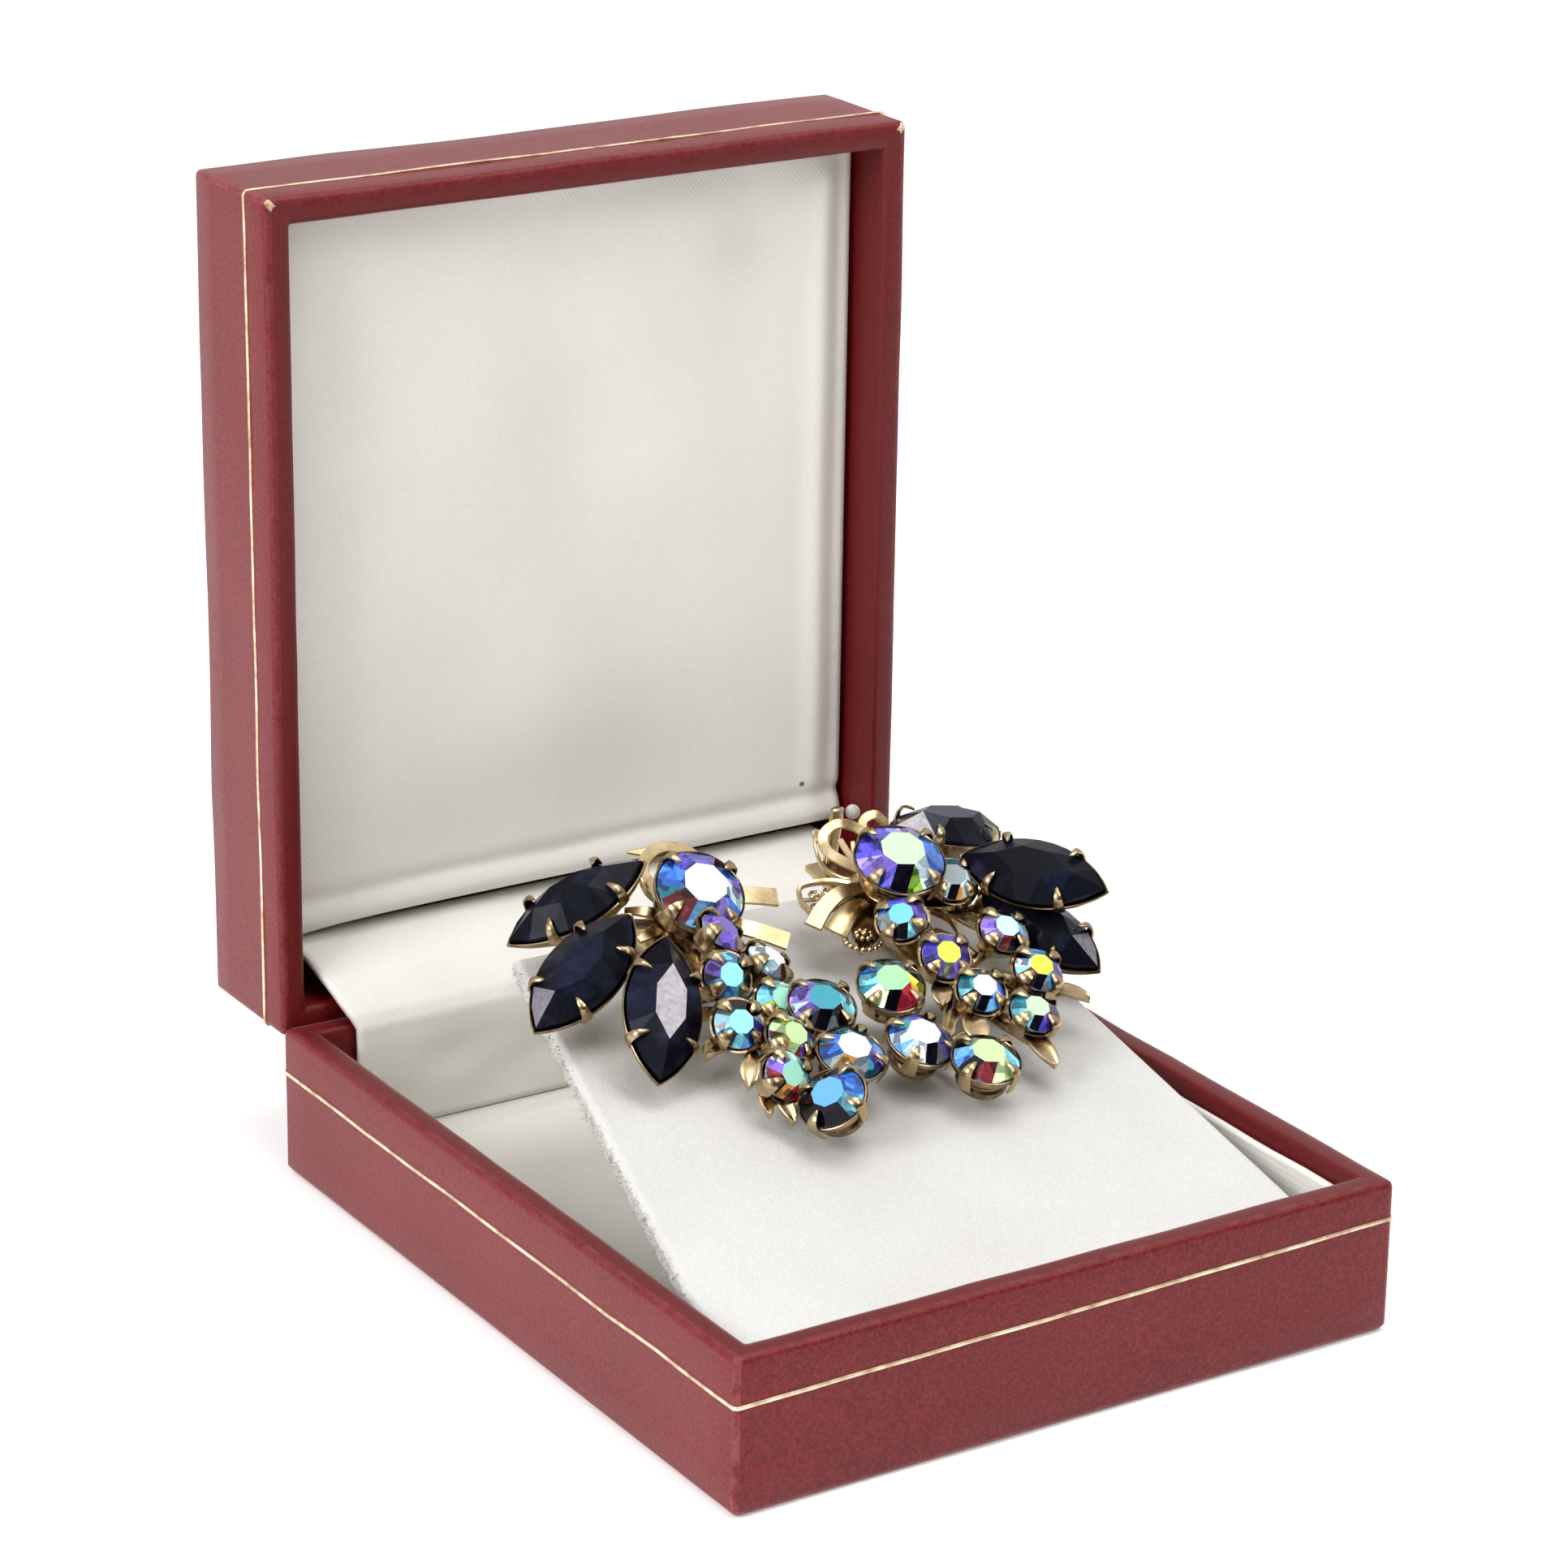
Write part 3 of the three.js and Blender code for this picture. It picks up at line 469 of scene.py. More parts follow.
# Linings
def make_base_lining():
    """Satin over the floor and three walls, with a rounded top edge, open at the back."""
    side, front, back = 41.15, -49.15, 48.8
    top, floor, foot = 17.1, 4.45, 2.55
    steps = 30
    rings = []
    for inset, z in ((0.0, foot), (0.0, top - 0.4), (0.12, top - 0.1), (0.45, top), (0.8, top - 0.12),
                     (0.95, top - 0.5), (0.98, top - 5), (0.98, floor + 0.6), (1.15, floor + 0.15),
                     (1.6, floor)):
        r = max(1.2 - inset * 0.6, 0.3)
        left, near = -side + inset, front + inset
        path = [(left, back - (back - near - r) * i / steps) for i in range(steps + 1)]
        path += [(left + r - r * cos(a), near + r - r * sin(a)) for a in (0.39, 0.79, 1.18)]
        half = list(path)
        path += [(left + r - 2 * (left + r) * i / steps, near) for i in range(steps + 1)]
        path += [(-x, y) for x, y in reversed(half)]
        loose = 0.2 if z > floor else 0.0
        rings.append([Vector((x, y, z + wander((x, y, z), 0.1, loose, 5))) for x, y in path])
    shape = Shape()
    shape.loft(rings, closed_rings=False, caps=(False, False))
    count, total = len(rings[0]), len(shape.points)
    shape.face(range(total - count, total))
    shape.face(reversed(range(count)), smooth=False)
    shape.face([*range(0, total, count), *range(total - 1, 0, -count)], smooth=False)
    shape.build("base_satin", SATIN, "root", "base_lining", "white_satin")


def padded_panel(rows, under):
    """A soft upper side over a flat board that reaches down to this height."""
    shape = Shape()
    shape.loft(rows, closed_rings=False, caps=(False, False))
    rim = rows[0] + [row[-1] for row in rows[1:]] + rows[-1][-2::-1] + [row[0] for row in rows[-2:0:-1]]
    shape.loft([[Vector((p.x, p.y, under)) for p in rim], rim], caps=(True, False), smooth=False)
    return shape


def edge_drop(distance, radius):
    """How far a rounded edge lies below the flat, at this distance inside it."""
    inside = max(radius - distance, 0.0)
    return radius - sqrt(max(radius * radius - inside ** 2, 0.0))


def hump(*terms):
    """A bell-shaped rise of 1, from distances that are given with their reach."""
    return exp(-sum((distance / reach) ** 2 for distance, reach in terms))


def make_lid_lining():
    """A padded panel: crowned, with rolled edges and a fuller roll along its foot."""
    x0, x1, v0, v1 = -41.2, 41.2, -43.3, 49.2
    back, front = 2.6, 12.7
    steps_u, steps_v = 110, 120
    rows = []
    for j in range(steps_v + 1):
        v = v0 + (v1 - v0) * eased(j, steps_v)
        foot, head = v - v0, v1 - v
        row = []
        for i in range(steps_u + 1):
            u = x0 + (x1 - x0) * eased(i, steps_u)
            left, right = u - x0, x1 - u
            z = front - edge_drop(min(left, right), 1.4) - edge_drop(head, 1.4) - edge_drop(foot, 2.3)
            fold = 0.7 * hump((right - 5.0, 1.6)) - 0.4 * hump((right - 2.2, 1.0))
            z += fold * min(1.0, head / 4, foot / 12)
            z -= 1.7 * hump((u - 27.0, 6.0), (v - 40.0, 7.0))
            z -= 1.2 * hump((u - 6.0 + v * 0.25, 9.0), (v - 16.0, 16.0))
            z += 0.4 * hump((foot - 2.3, 1.4)) - 0.55 * hump((foot - 5.2, 1.1))
            z += wander((u, v, 0), 0.045, 1.3, 2) * min(1.0, left / 8, right / 8, head / 8, foot / 8)
            lift = (0.9 - 1.1 * exp(-left / 7)) * max(0.0, 1 - foot / 8)
            row.append(Vector((u, v + lift, z)))
        rows.append(row)
    piece = padded_panel(rows, back).build("lid_satin", SATIN, "lid", "lid_lining", "white_satin", ON_LID)


def make_stay():
    """The satin strip from the lid's foot over the hinge down to the base's floor."""
    line = [(62.8, 26.6), (60.4, 26.55), (57.3, 25.5), (53.8, 23.5), (50.9, 21.5), (49.3, 20.1),
            (48.45, 18.6), (48.35, 16.0), (48.3, 12.0), (48.35, 8.0), (48.4, 4.6)]
    curve = [tuple(between(p, q, i / 4) for p, q in zip(a, b))
             for a, b in zip(line, line[1:]) for i in range(4)]
    curve.append(line[-1])
    left_top, left_foot, right = -40.6, -37.0, 38.5
    half_thickness = 0.4
    steps = 90
    loops = []
    for k, (y, z) in enumerate(curve):
        down = k / (len(curve) - 1)
        before, after = neighbours(curve, k)
        along = (Vector(after) - Vector(before)).normalized()
        normal = Vector((0.0, along.y, -along.x))
        left = between(left_top, left_foot, min(1.0, down * 1.7))
        row = []
        for i in range(steps + 1):
            x = left + (right - left) * i / steps
            ripple = wander((x, y * 2, z * 2), 0.11, 0.35, 12) * min(1.0, down * 6, (1 - down) * 8)
            row.append(Vector((x, y, z)) + normal * (ripple - 0.1))
        upper = [p - normal * half_thickness for p in row]
        loops.append(upper + [p + normal * half_thickness for p in reversed(row)])
    shape = Shape()
    shape.loft(loops)
    piece = shape.build("satin_stay", SATIN, None, "hinge_satin", "white_satin")
    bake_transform(piece)
    length = sum(dist(a, b) for a, b in zip(curve, curve[1:]))


def pad_limits(q):
    """The pad's left and right edge at this distance from its front."""
    edges = [(PAD_NEAR, -40.2, 36.5), (14.0, -40.2, 36.8), (54.0, -30.9, 37.6), (PAD_FAR, -24.0, 38.0)]
    for (q0, *near), (q1, *far) in zip(edges, edges[1:]):
        if q <= q1:
            break
    return [between(a, b, min(1.0, (q - q0) / (q1 - q0))) for a, b in zip(near, far)]


def make_pad():
    """The velvet pad: a thin board with worn, soft edges and a slightly uneven top."""
    steps = 100
    rows = []
    for j in range(steps + 1):
        q = between(PAD_NEAR, PAD_FAR, eased(j, steps))
        left, right = pad_limits(q)
        left += wander((0, q, 0), 0.5, 0.35, 3) + wander((0, q, 0), 2.1, 0.2, 4)
        row = []
        for i in range(steps + 1):
            x = left + (right - left) * eased(i, steps)
            edge = min(x - left, right - x, q - PAD_NEAR, PAD_FAR - q)
            drop = 0.7 * max(0.0, 1 - edge / 0.9) ** 2
            row.append(Vector((x, q, wander((x, q, 0), 0.05, 0.5, 8) * min(1, edge / 6) - drop - 0.12)))
        rows.append(row)
    shape = padded_panel(rows, -PAD_THICKNESS)
    # Short loose fibres along the worn left edge
    side = Vector((0, 0.05, 0.02))
    for _ in range(FIBRES):
        q = random.uniform(1, 83)
        left = pad_limits(q)[0]
        root = Vector((left + random.uniform(-0.15, 0.3), q, random.uniform(-PAD_THICKNESS, -0.4)))
        reach = Vector((-random.uniform(0.2, 0.9), random.uniform(-0.5, 0.5), random.uniform(-0.5, 0.2)))
        shape.add([root - side, root + side, root + reach, root + Vector((0, 0, 0.07))],
                  [(0, 2, 1), (1, 2, 3), (3, 2, 0), (0, 1, 3)])
    piece = shape.build("velvet_pad", VELVET, "root", "pad", "white_velvet", ON_PAD)


# Stones, in the order of their names: girdle centre on the pad, lean to the right and to the front and turn
# in degrees, colour of the table, colours of the facets
ROUND_RADIUS = {"big": 5.5, "medium": 3.95, "small": 3.0}
NAVETTE_LENGTH = 18.6
NAVETTE_WIDTH = 9.4
NAVETTE_CROWN = 2.4
NAVETTE_DEPTH = 3.2
NAMES = ["navette_top", "navette_middle", "navette_low", "chaton_crown"]
NAMES += [f"chaton_{k}" for k in range(1, 8)] + [f"drop_{k}" for k in range(1, 4)]
KINDS = ["navette"] * 3 + ["big"] + ["small"] * 7 + ["medium"] * 3
COLUMNS = ("name", "kind", "x", "q", "h", "right", "front", "turn", "table", "facets")
# The table and facet colours are partly the glass's own and partly painted reflection; the pale facets of the
# dark navettes are painted reflections
LEFT_STONES = [
    (-19, 79.1, 9.5, -28, -5, -6, "ink",
     "mauve ink night ink ink night ink night night night"),
    (-25.2, 66.3, 8.5, -25, 15, 20, "indigo",
     "night ink mauve night ink night night night ink night"),
    (-20.3, 55.7, 8.5, 0, 35, 65, "lilac_grey",
     "ink indigo night night night night ink night indigo ink"),
    (-5.6, 72.7, 11.5, 0, 28, 0, "white",
     "blue|ink ultramarine ultramarine|blue blue|teal garnet sky|blue lilac|blue ice|lilac"),
    (-7.1, 64.8, 10.7, 30, 15, 0, "violet",
     "lilac violet amber|violet violet ink violet lilac|white violet"),
    (-9.5, 59, 8.5, -3, 45, 0, "aqua",
     "ink|smoke aqua violet|lilac violet|ink sky|ink sky aqua|smoke ink"),
    (-2.5, 60.8, 7.8, 28, 10, 0, "white",
     "smoke ice sky|ice ice ice|teal ice|smoke garnet|smoke ice|smoke"),
    (-12.8, 50.9, 7.5, -10, 41, 0, "aqua",
     "ink ink smoke teal|smoke teal|ink aqua|sky blue|white ultramarine|ice"),
    (-4.6, 54.6, 6.3, 5, 30, 0, "mint",
     "aqua mint aqua|sky aqua lime|amber pale_lime|mint smoke|mint aqua"),
    (-8, 46.7, 7, 10, 30, 0, "pale_lime",
     "violet|mint olive lime|olive pale_lime|garnet lime|amber pale_lime|garnet violet|lilac mint|violet"),
    (-11.9, 41.2, 6, 13, 45, 0, "mint",
     "aqua mint violet|white violet|garnet garnet|ink amber|garnet red|amber ice|aqua"),
    (-1.4, 50.5, 7.6, -3, 15, 0, "teal_mix",
     "smoke|teal teal violet|lilac lilac|ice violet|ink ink|smoke ink|aqua aqua|smoke"),
    (-2.7, 41.7, 6.5, 0, 15, 22.5, "white",
     "teal|smoke teal|ink blue|smoke blue|ice amber|smoke smoke|teal violet|lilac sky|teal"),
    (-9.4, 35.1, 6, -36, 3, 0, "sky", "blue|ink ink ink ink ink ink|ink aqua|sky blue"),
]
RIGHT_STONES = [
    (32.6, 75.9, 10.8, 14, -5, 5, "slate",
     "night night ink night slate night lilac_grey slate ink night"),
    (35.3, 60.8, 12.5, -25, 13, -56, "ink",
     "ink ink ink ink night indigo ink ink ink night"),
    (35.3, 57.8, 6.1, -10, 11, -73, "night",
     "mauve night ink ink ink night ink night night ink"),
    (21.2, 69.4, 12.2, -6, 15, 0, "milk_green",
     "blue|smoke ultramarine ultramarine ultramarine|lilac violet|ultramarine ink|moss ice|blue blue"),
    (27.7, 66.8, 9.6, -10, 25, 0, "smoke",
     "smoke teal teal smoke ice ink|amber ice|ink ice"),
    (17.2, 62, 9, -25, 15, 0, "aqua",
     "violet ultramarine blue smoke smoke|ink ink|aqua smoke violet"),
    (18.6, 54, 8, -8, 30, 0, "yellow",
     "violet ultramarine ultramarine ultramarine|violet violet smoke|violet violet ultramarine"),
    (27.6, 55, 9, 0, 25, 0, "ice",
     "teal ink smoke violet|lilac violet|smoke garnet|ink ink|sky sky|smoke"),
    (27.6, 47.3, 8, 0, 25, 0, "yellow",
     "lilac|smoke sky sky|ink ice|aqua garnet|ink ink|smoke sky|ice violet|lilac"),
    (19.5, 47.2, 7, -5, 25, 0, "white",
     "smoke ink teal teal|aqua ink|smoke ink|sky sky|ice blue|ink"),
    (22.8, 40.8, 7, 0, 20, 0, "milk_green",
     "ink ink teal teal|aqua mint|aqua ink|ultramarine violet|ink garnet|violet"),
    (9.5, 52, 7, -8, 15, 0, "pale_green",
     "smoke smoke|ink teal|blue aqua|teal pale_lime ink|red red|amber yellow|ink"),
    (7.2, 41.8, 6, 3, 15, 22.5, "white",
     "smoke blue|teal teal|blue ice|sky ice|white ink|smoke violet|ink ultramarine|smoke"),
    (12.3, 35.3, 6, -3, 10, 0, "pale_lime",
     "ink|garnet ink smoke|ink sky|blue ink|garnet garnet|pale_lime pale_lime|aqua aqua|ink"),
]
ROWS = {side: [dict(zip(COLUMNS, (name, kind, *values))) for name, kind, values in zip(NAMES, KINDS, table)]
        for side, table in (("left", LEFT_STONES), ("right", RIGHT_STONES))}
PALETTE = {
    "white": (0.95, 0.97, 0.98), "milk_green": (0.62, 0.8, 0.56), "mint": (0.4, 0.86, 0.7),
    "ice": (0.66, 0.88, 0.97), "aqua": (0.2, 0.66, 0.85), "teal": (0.03, 0.22, 0.3),
    "teal_mix": (0.06, 0.36, 0.46), "sky": (0.14, 0.42, 0.86), "blue": (0.045, 0.17, 0.66),
    "ultramarine": (0.07, 0.06, 0.5), "violet": (0.17, 0.1, 0.55), "lilac": (0.33, 0.26, 0.76),
    "garnet": (0.16, 0.025, 0.03), "amber": (0.75, 0.35, 0.08), "lime": (0.5, 0.68, 0.1),
    "pale_lime": (0.62, 0.85, 0.42), "olive": (0.18, 0.26, 0.06), "moss": (0.2, 0.42, 0.05),
    "red": (0.6, 0.03, 0.06), "pale_green": (0.4, 0.8, 0.42), "yellow": (0.78, 0.85, 0.1),
    "smoke": (0.16, 0.2, 0.22), "ink": (0.004, 0.004, 0.009), "night": (0.007, 0.008, 0.014),
    "indigo": (0.01, 0.012, 0.026), "slate": (0.05, 0.055, 0.075), "mauve": (0.2, 0.19, 0.22),
    "lilac_grey": (0.5, 0.46, 0.5),
}
GIRDLE_COLOR = (0.25, 0.3, 0.4)


def place_of(row):
    lean = spin("Y", row["right"]) @ spin("X", row["front"]) @ spin("Z", row["turn"])
    return ON_PAD @ Matrix.Translation((row["x"], row["q"], row["h"])) @ lean


# Painted light and shade: a lighter or darker copy of a facet's colour
def shaded(color, amount):
    return tuple(min(1.0, c * amount) for c in color)


def round_stone(row):
    """Table, eight crown facets each split like the cut glass, a round girdle and a pointed back."""
    r = ROUND_RADIUS[row["kind"]]
    table, crown, culet, half = r * 0.52, r * 0.42, r * 0.72, r * 0.03
    names = row["facets"].split()
    eighth = pi / 4
    steps, split = 6, 3
    total = 8 * steps
    gem = Shape()
    top = [gem.point(*circle(table, k * eighth, crown)) for k in range(8)]
    upper, lower = [], []
    for i in range(total):
        a = (i // steps + i % steps / steps) * eighth
        reach = r * cos(a - (i // steps + 0.5) * eighth)
        rise = (r - reach) / (r - table * cos(eighth / 2))
        upper.append(gem.point(*circle(r, a, half + (crown - half) * rise)))
        lower.append(gem.point(*circle(r, a, -half - (culet - half) * rise * 0.9)))
    tip = gem.point(0, 0, -culet)
    # Painted reflections: the table and the two halves of each crown facet take listed colours for the light
    # the glass shows, and each back facet a darker copy as painted shade
    gem.facet(top, PALETTE[row["table"]])
    for k in range(8):
        first, second = (PALETTE[name] for name in (names[k].split("|") * 2)[:2])
        above, below = ([ring[(k * steps + i) % total] for i in range(steps + 1)] for ring in (upper, lower))
        gem.facet((top[(k + 1) % 8], top[k], *above[:split + 1]), first)
        gem.facet((top[(k + 1) % 8], *above[split:]), second)
        gem.facet((*below, tip), shaded(first, 0.5), False)
    for i in range(total):
        j = (i + 1) % total
        gem.facet((upper[j], upper[i], lower[i], lower[j]), GIRDLE_COLOR)
    return gem


def navette_stone(row):
    """Pointed oval: a six-sided table, two end facets at each tip and long facets on the sides."""
    l, w = NAVETTE_LENGTH / 2, NAVETTE_WIDTH / 2
    radius = (l * l + w * w) / (2 * w)
    girdle = (0.2, -0.2)
    ways = (1, -1)
    colors = [PALETTE[name] for name in row["facets"].split()]
    ink = PALETTE["ink"]
    gem = Shape()

    def edge(x, sy, k):
        return gem.point(x, sy * (sqrt(max(radius * radius - x * x, 0.0)) - radius + w), girdle[k])

    ends = {sx: gem.point(sx * l * 0.53, 0, NAVETTE_CROWN) for sx in ways}
    shoulders = {(sx, sy): gem.point(sx * l * 0.2, sy * w * 0.4, NAVETTE_CROWN) for sx in ways for sy in ways}
    tips = {(sx, k): gem.point(sx * l, 0, girdle[k]) for sx in ways for k in (0, 1)}
    splits = [l * t for t in (-0.52, -0.3, -0.1, 0.1, 0.3, 0.52)]
    sides = {(sy, k): [edge(x, sy, k) for x in splits] for sy in ways for k in (0, 1)}
    more = {(sx, sy, k): edge(sx * l * 0.78, sy, k) for sx in ways for sy in ways for k in (0, 1)}
    table = (ends[1], shoulders[1, 1], shoulders[-1, 1], ends[-1], shoulders[-1, -1], shoulders[1, -1])
    gem.facet(table, PALETTE[row["table"]])
    # Painted reflections: the end facets take listed colours, and the side facets lighter and darker copies
    # of one colour as painted light and shade
    for sy in ways:
        edges = sides[sy, 0]
        own, side_color = (colors[:4], colors[8]) if sy > 0 else (colors[4:8], colors[9])
        for sx in ways:
            outer = edges[-1] if sx > 0 else edges[0]
            gem.facet((ends[sx], tips[sx, 0], more[sx, sy, 0], outer), own[1 - sx], sx * sy > 0)
            gem.facet((ends[sx], outer, shoulders[sx, sy]), own[2 - sx], sx * sy > 0)
        for i, amount in enumerate((1.0, 0.7, 1.15, 0.8, 1.05)):
            first = shoulders[-1 if i < 3 else 1, sy]
            loop = (first, edges[i], edges[i + 1]) + ((shoulders[1, sy],) if i == 2 else ())
            gem.facet(loop, shaded(side_color, amount), sy < 0)
    middle = 5
    keels = []
    for sy in ways:
        upper, lower = ([tips[-1, k], more[-1, sy, k], *sides[sy, k], more[1, sy, k], tips[1, k]]
                        for k in (0, 1))
        for i in range(len(upper) - 1):
            gem.facet((upper[i], upper[i + 1], lower[i + 1], lower[i]), ink, sy > 0)
        keel = [gem.point(sx * l * 0.45, sy * w * 0.1, -NAVETTE_DEPTH) for sx in (-1, 1)]
        for i in range(len(lower) - 1):
            gem.facet((lower[i], lower[i + 1], keel[0 if i < middle else 1]), ink, sy > 0)
        gem.facet((lower[middle], keel[1], keel[0]), ink, sy > 0)
        keels.append(keel)
    (a, b), (c, d) = keels
    gem.facet((a, b, d, c), ink, False)
    gem.facet((tips[-1, 1], a, c), ink, False)
    gem.facet((tips[1, 1], b, d), ink)
    return gem


def make_stones(side, rows):
    for row in rows:
        navette = row["kind"] == "navette"
        gem = (navette_stone if navette else round_stone)(row)
        material, slot = (NAVY_GLASS, "navy_glass") if navette else (AURORA_GLASS, "aurora_glass")
        name = f"{side}_{row['name']}"
        piece = gem.build(name + "_cut", material, "root", name, slot, place_of(row))
        # Each facet's colour, partly the glass's own and partly painted reflection, and the mask of the
        # painted glints: every face but the table
        paint(piece, "tint", gem.tints)
        paint(piece, "cut", [0.0] + [1.0] * (len(gem.tints) - 1))


# Metalwork
def frames_along(path, up):
    """For each point of a path: the way across it and the way up from its flat side."""
    result = []
    for k in range(len(path)):
        before, after = neighbours(path, k)
        along = (after - before).normalized()
        across = along.cross(Vector(up))
        across = across.normalized() if across.length > 1e-6 else Vector((1, 0, 0))
        result.append((across, across.cross(along).normalized()))
    return result


def sweep(shape, path, section, scale=None, age=0.5):
    """A closed section, as (across, up) pairs, along a path of points."""
    rings = []
    for k, (across, top) in enumerate(frames_along(path, (0.1, 0.2, 1))):
        wide, tall = scale(k / (len(path) - 1)) if scale else (1.0, 1.0)
        rings.append([path[k] + across * a * wide + top * b * tall for a, b in section])
    shape.loft(rings, ON_PAD, tint=age)


def oval(width, height, steps=8):
    angles = [i * 2 * pi / steps for i in range(steps)]
    return [(width / 2 * cos(a), height / 2 * sin(a)) for a in angles]


def strap(width, thickness):
    """A flat section with narrow bevelled edges."""
    w, t = width / 2, thickness / 2
    b = min(0.1, t * 0.5)
    half = [(w, -t + b), (w, t - b), (w - b, t), (-w + b, t)]
    return half + [(-x, -y) for x, y in half]


def bezier(points, steps):
    """Points on the Bezier curve of these control points."""
    result = []
    for i in range(steps + 1):
        level = [Vector(p) for p in points]
        while len(level) > 1:
            level = [a.lerp(b, i / steps) for a, b in zip(level, level[1:])]
        result.append(level[0])
    return result


def smooth_path(points, steps=6):
    """A curve through all the points."""
    points = [Vector(p) for p in points]
    result = []
    for k in range(len(points) - 1):
        a, b = points[k], points[k + 1]
        before, after = neighbours(points, k, 2)
        for i in range(steps):
            t = i / steps
            result.append(0.5 * (2 * a + (b - before) * t + (2 * before - 5 * a + 4 * b - after) * t * t
                                 + (3 * a - before - 3 * b + after) * t ** 3))
    result.append(points[-1])
    return result


def lathe(shape, profile, place, rim=None):
    """A form turned round its own axis; rim gives the height, at an angle, where the profile has none."""
    steps = 48
    angles = [2 * pi * i / steps for i in range(steps)]
    rings = []
    for radius, z in profile:
        rings.append([circle(max(radius, 0.02), a, rim(a) if z is None else z) for a in angles])
    shape.loft(rings, place, tint=0.95)


def small_cup(shape, r, turn, place):
    """A crown-like cup whose rim dips between its four claws."""
    deep = r * 0.72 + 0.9
    profile = [(0, -deep), (r * 0.6, -deep), (r * 0.7, -deep + 0.25), (r * 0.78, -deep + 0.9),
               (r + 0.2, -0.95), (r + 0.42, None), (r + 0.3, None), (r + 0.13, None), (r + 0.1, -0.7),
               (r * 0.5, -deep + 0.5), (0, -deep + 0.45)]
    lathe(shape, profile, place, lambda angle: -0.42 + 0.62 * max(0, cos(4 * (angle - turn))) ** 1.5)


def round_cup(shape, r, place):
    """A bowl with a thin rim that stands on a round base with its own edge."""
    deep = r * 0.72
    profile = [(0, -deep - 0.95), (r * 0.6, -deep - 0.95), (r * 0.74, -deep - 0.8), (r * 0.8, -deep - 0.4),
               (r * 0.8, -r * 0.68), (r * 0.72, -r * 0.6), (r * 0.72, -r * 0.54), (r * 0.86, -r * 0.38),
               (r + 0.24, -0.55), (r + 0.36, -0.1), (r + 0.34, 0.16), (r + 0.22, 0.22), (r + 0.13, 0.12),
               (r + 0.12, -0.3), (r * 0.55, -r * 0.6 - 0.1), (0, -deep - 0.3)]
    lathe(shape, profile, place)


def sheet_claw(shape, r, angle, place, width, rise, reach=1.1, low=1.9):
    """A claw cut from the cup's sheet: broad at its foot, narrowing to a tip bent over the stone."""
    stations = [(0.16, -low, 0.62), (0.4, -0.75, 0.6), (0.46, 0.0, 0.54), (0.42, rise * 0.5, 0.47),
                (0.16, rise * 0.9, 0.4), (-0.32, rise * 1.14, 0.31), (-reach * 0.8, rise * 1.22, 0.17),
                (-reach, rise * 1.2, 0.04)]
    rings = []
    for k, (off, z, half) in enumerate(stations):
        before, after = neighbours(stations, k)
        run = Vector((after[0] - before[0], after[1] - before[1])).normalized()
        outer, inner = [], []
        for s in (-1.0, -0.5, 0.0, 0.5, 1.0):
            turn = angle + s * half * width / (r + off)
            thick = 0.12 + 0.1 * (1 - abs(s))
            for side, line in ((1, outer), (-1, inner)):
                line.append(circle(r + off + run.y * thick * side, turn, z - run.x * thick * side))
        rings.append(outer + inner[::-1])
    shape.loft(rings, place, tint=0.55)


def leaf(shape, x, q, h, length, width, heading, pitch, roll=0.0, age=0.35):
    """A cast petal: narrow at its foot, hollow along its middle, with thick smooth edges and a round tip."""
    place = ON_PAD @ Matrix.Translation((x, q, h)) @ spin("Z", heading) @ spin("Y", -pitch) @ spin("X", roll)
    across, along = 10, 14
    rings = []
    for i in range(along + 1):
        t = i / along
        wide = width / 2 * max(0.1, sin(pi * (0.1 + 0.88 * t)) ** 0.7 * (0.62 + 0.55 * t))
        top, bottom = [], []
        for j in range(across + 1):
            s = j / across * 2 - 1
            round_edge = sqrt(max(0.0, 1 - s * s))
            z = 0.42 * s * s - 0.5 * t * t + 0.16 * sin(3.1 * t)
            thick = 0.32 * round_edge + 0.03
            top.append(Vector((length * (t - 0.5), wide * s, z + thick)))
            bottom.append(Vector((length * (t - 0.5), wide * s, z - thick - 0.25 * round_edge)))
        rings.append(top + bottom[::-1])
    shape.loft(rings, place, tint=age)


def ribbon(shape, points, widths, flat_up=(-0.25, -0.35, 0.75), thickness=0.5, age=0.0, cupped=0.0):
    """A flat band through the points, each with its own width, bent a little across where it is cupped."""
    steps = 7
    path = smooth_path(points, steps)
    rings = []
    for k, (across, top) in enumerate(frames_along(path, flat_up)):
        t = k / steps
        i = min(int(t), len(widths) - 2)
        width = between(widths[i], widths[i + 1], t - i)
        rings.append([path[k] + across * a + top * (b + cupped * ((2 * a / width) ** 2 - 0.5))
                      for a, b in strap(width, thickness)])
    shape.loft(rings, ON_PAD, tint=age)


def flat_hoop(shape, place, rx, ry, width, thickness, age=0.0):
    """A flat ring cut from sheet, in the place's X and Y."""
    steps = 48
    rings = []
    for i in range(steps + 1):
        a = 2 * pi * i / steps
        out = Vector((cos(a) * ry, sin(a) * rx, 0)).normalized()
        centre = Vector((rx * cos(a), ry * sin(a), 0))
        rings.append([centre + out * u + Vector((0, 0, v)) for u, v in strap(width, thickness)])
    shape.loft(rings, place, caps=(False, False), tint=age)


def wire(shape, points, thickness, age=0.2):
    sweep(shape, smooth_path(points, 5), oval(thickness, thickness, 6), age=age)


def ball(shape, centre, radius, squash=1.0, rings=6, steps=10, age=0.4):
    loops = []
    for k in range(rings + 1):
        polar = pi * k / rings
        r, z = max(radius * sin(polar), 0.001), -radius * squash * cos(polar)
        loops.append([Vector(centre) + circle(r, 2 * pi * i / steps, z) for i in range(steps)])
    shape.loft(loops, ON_PAD, tint=age)


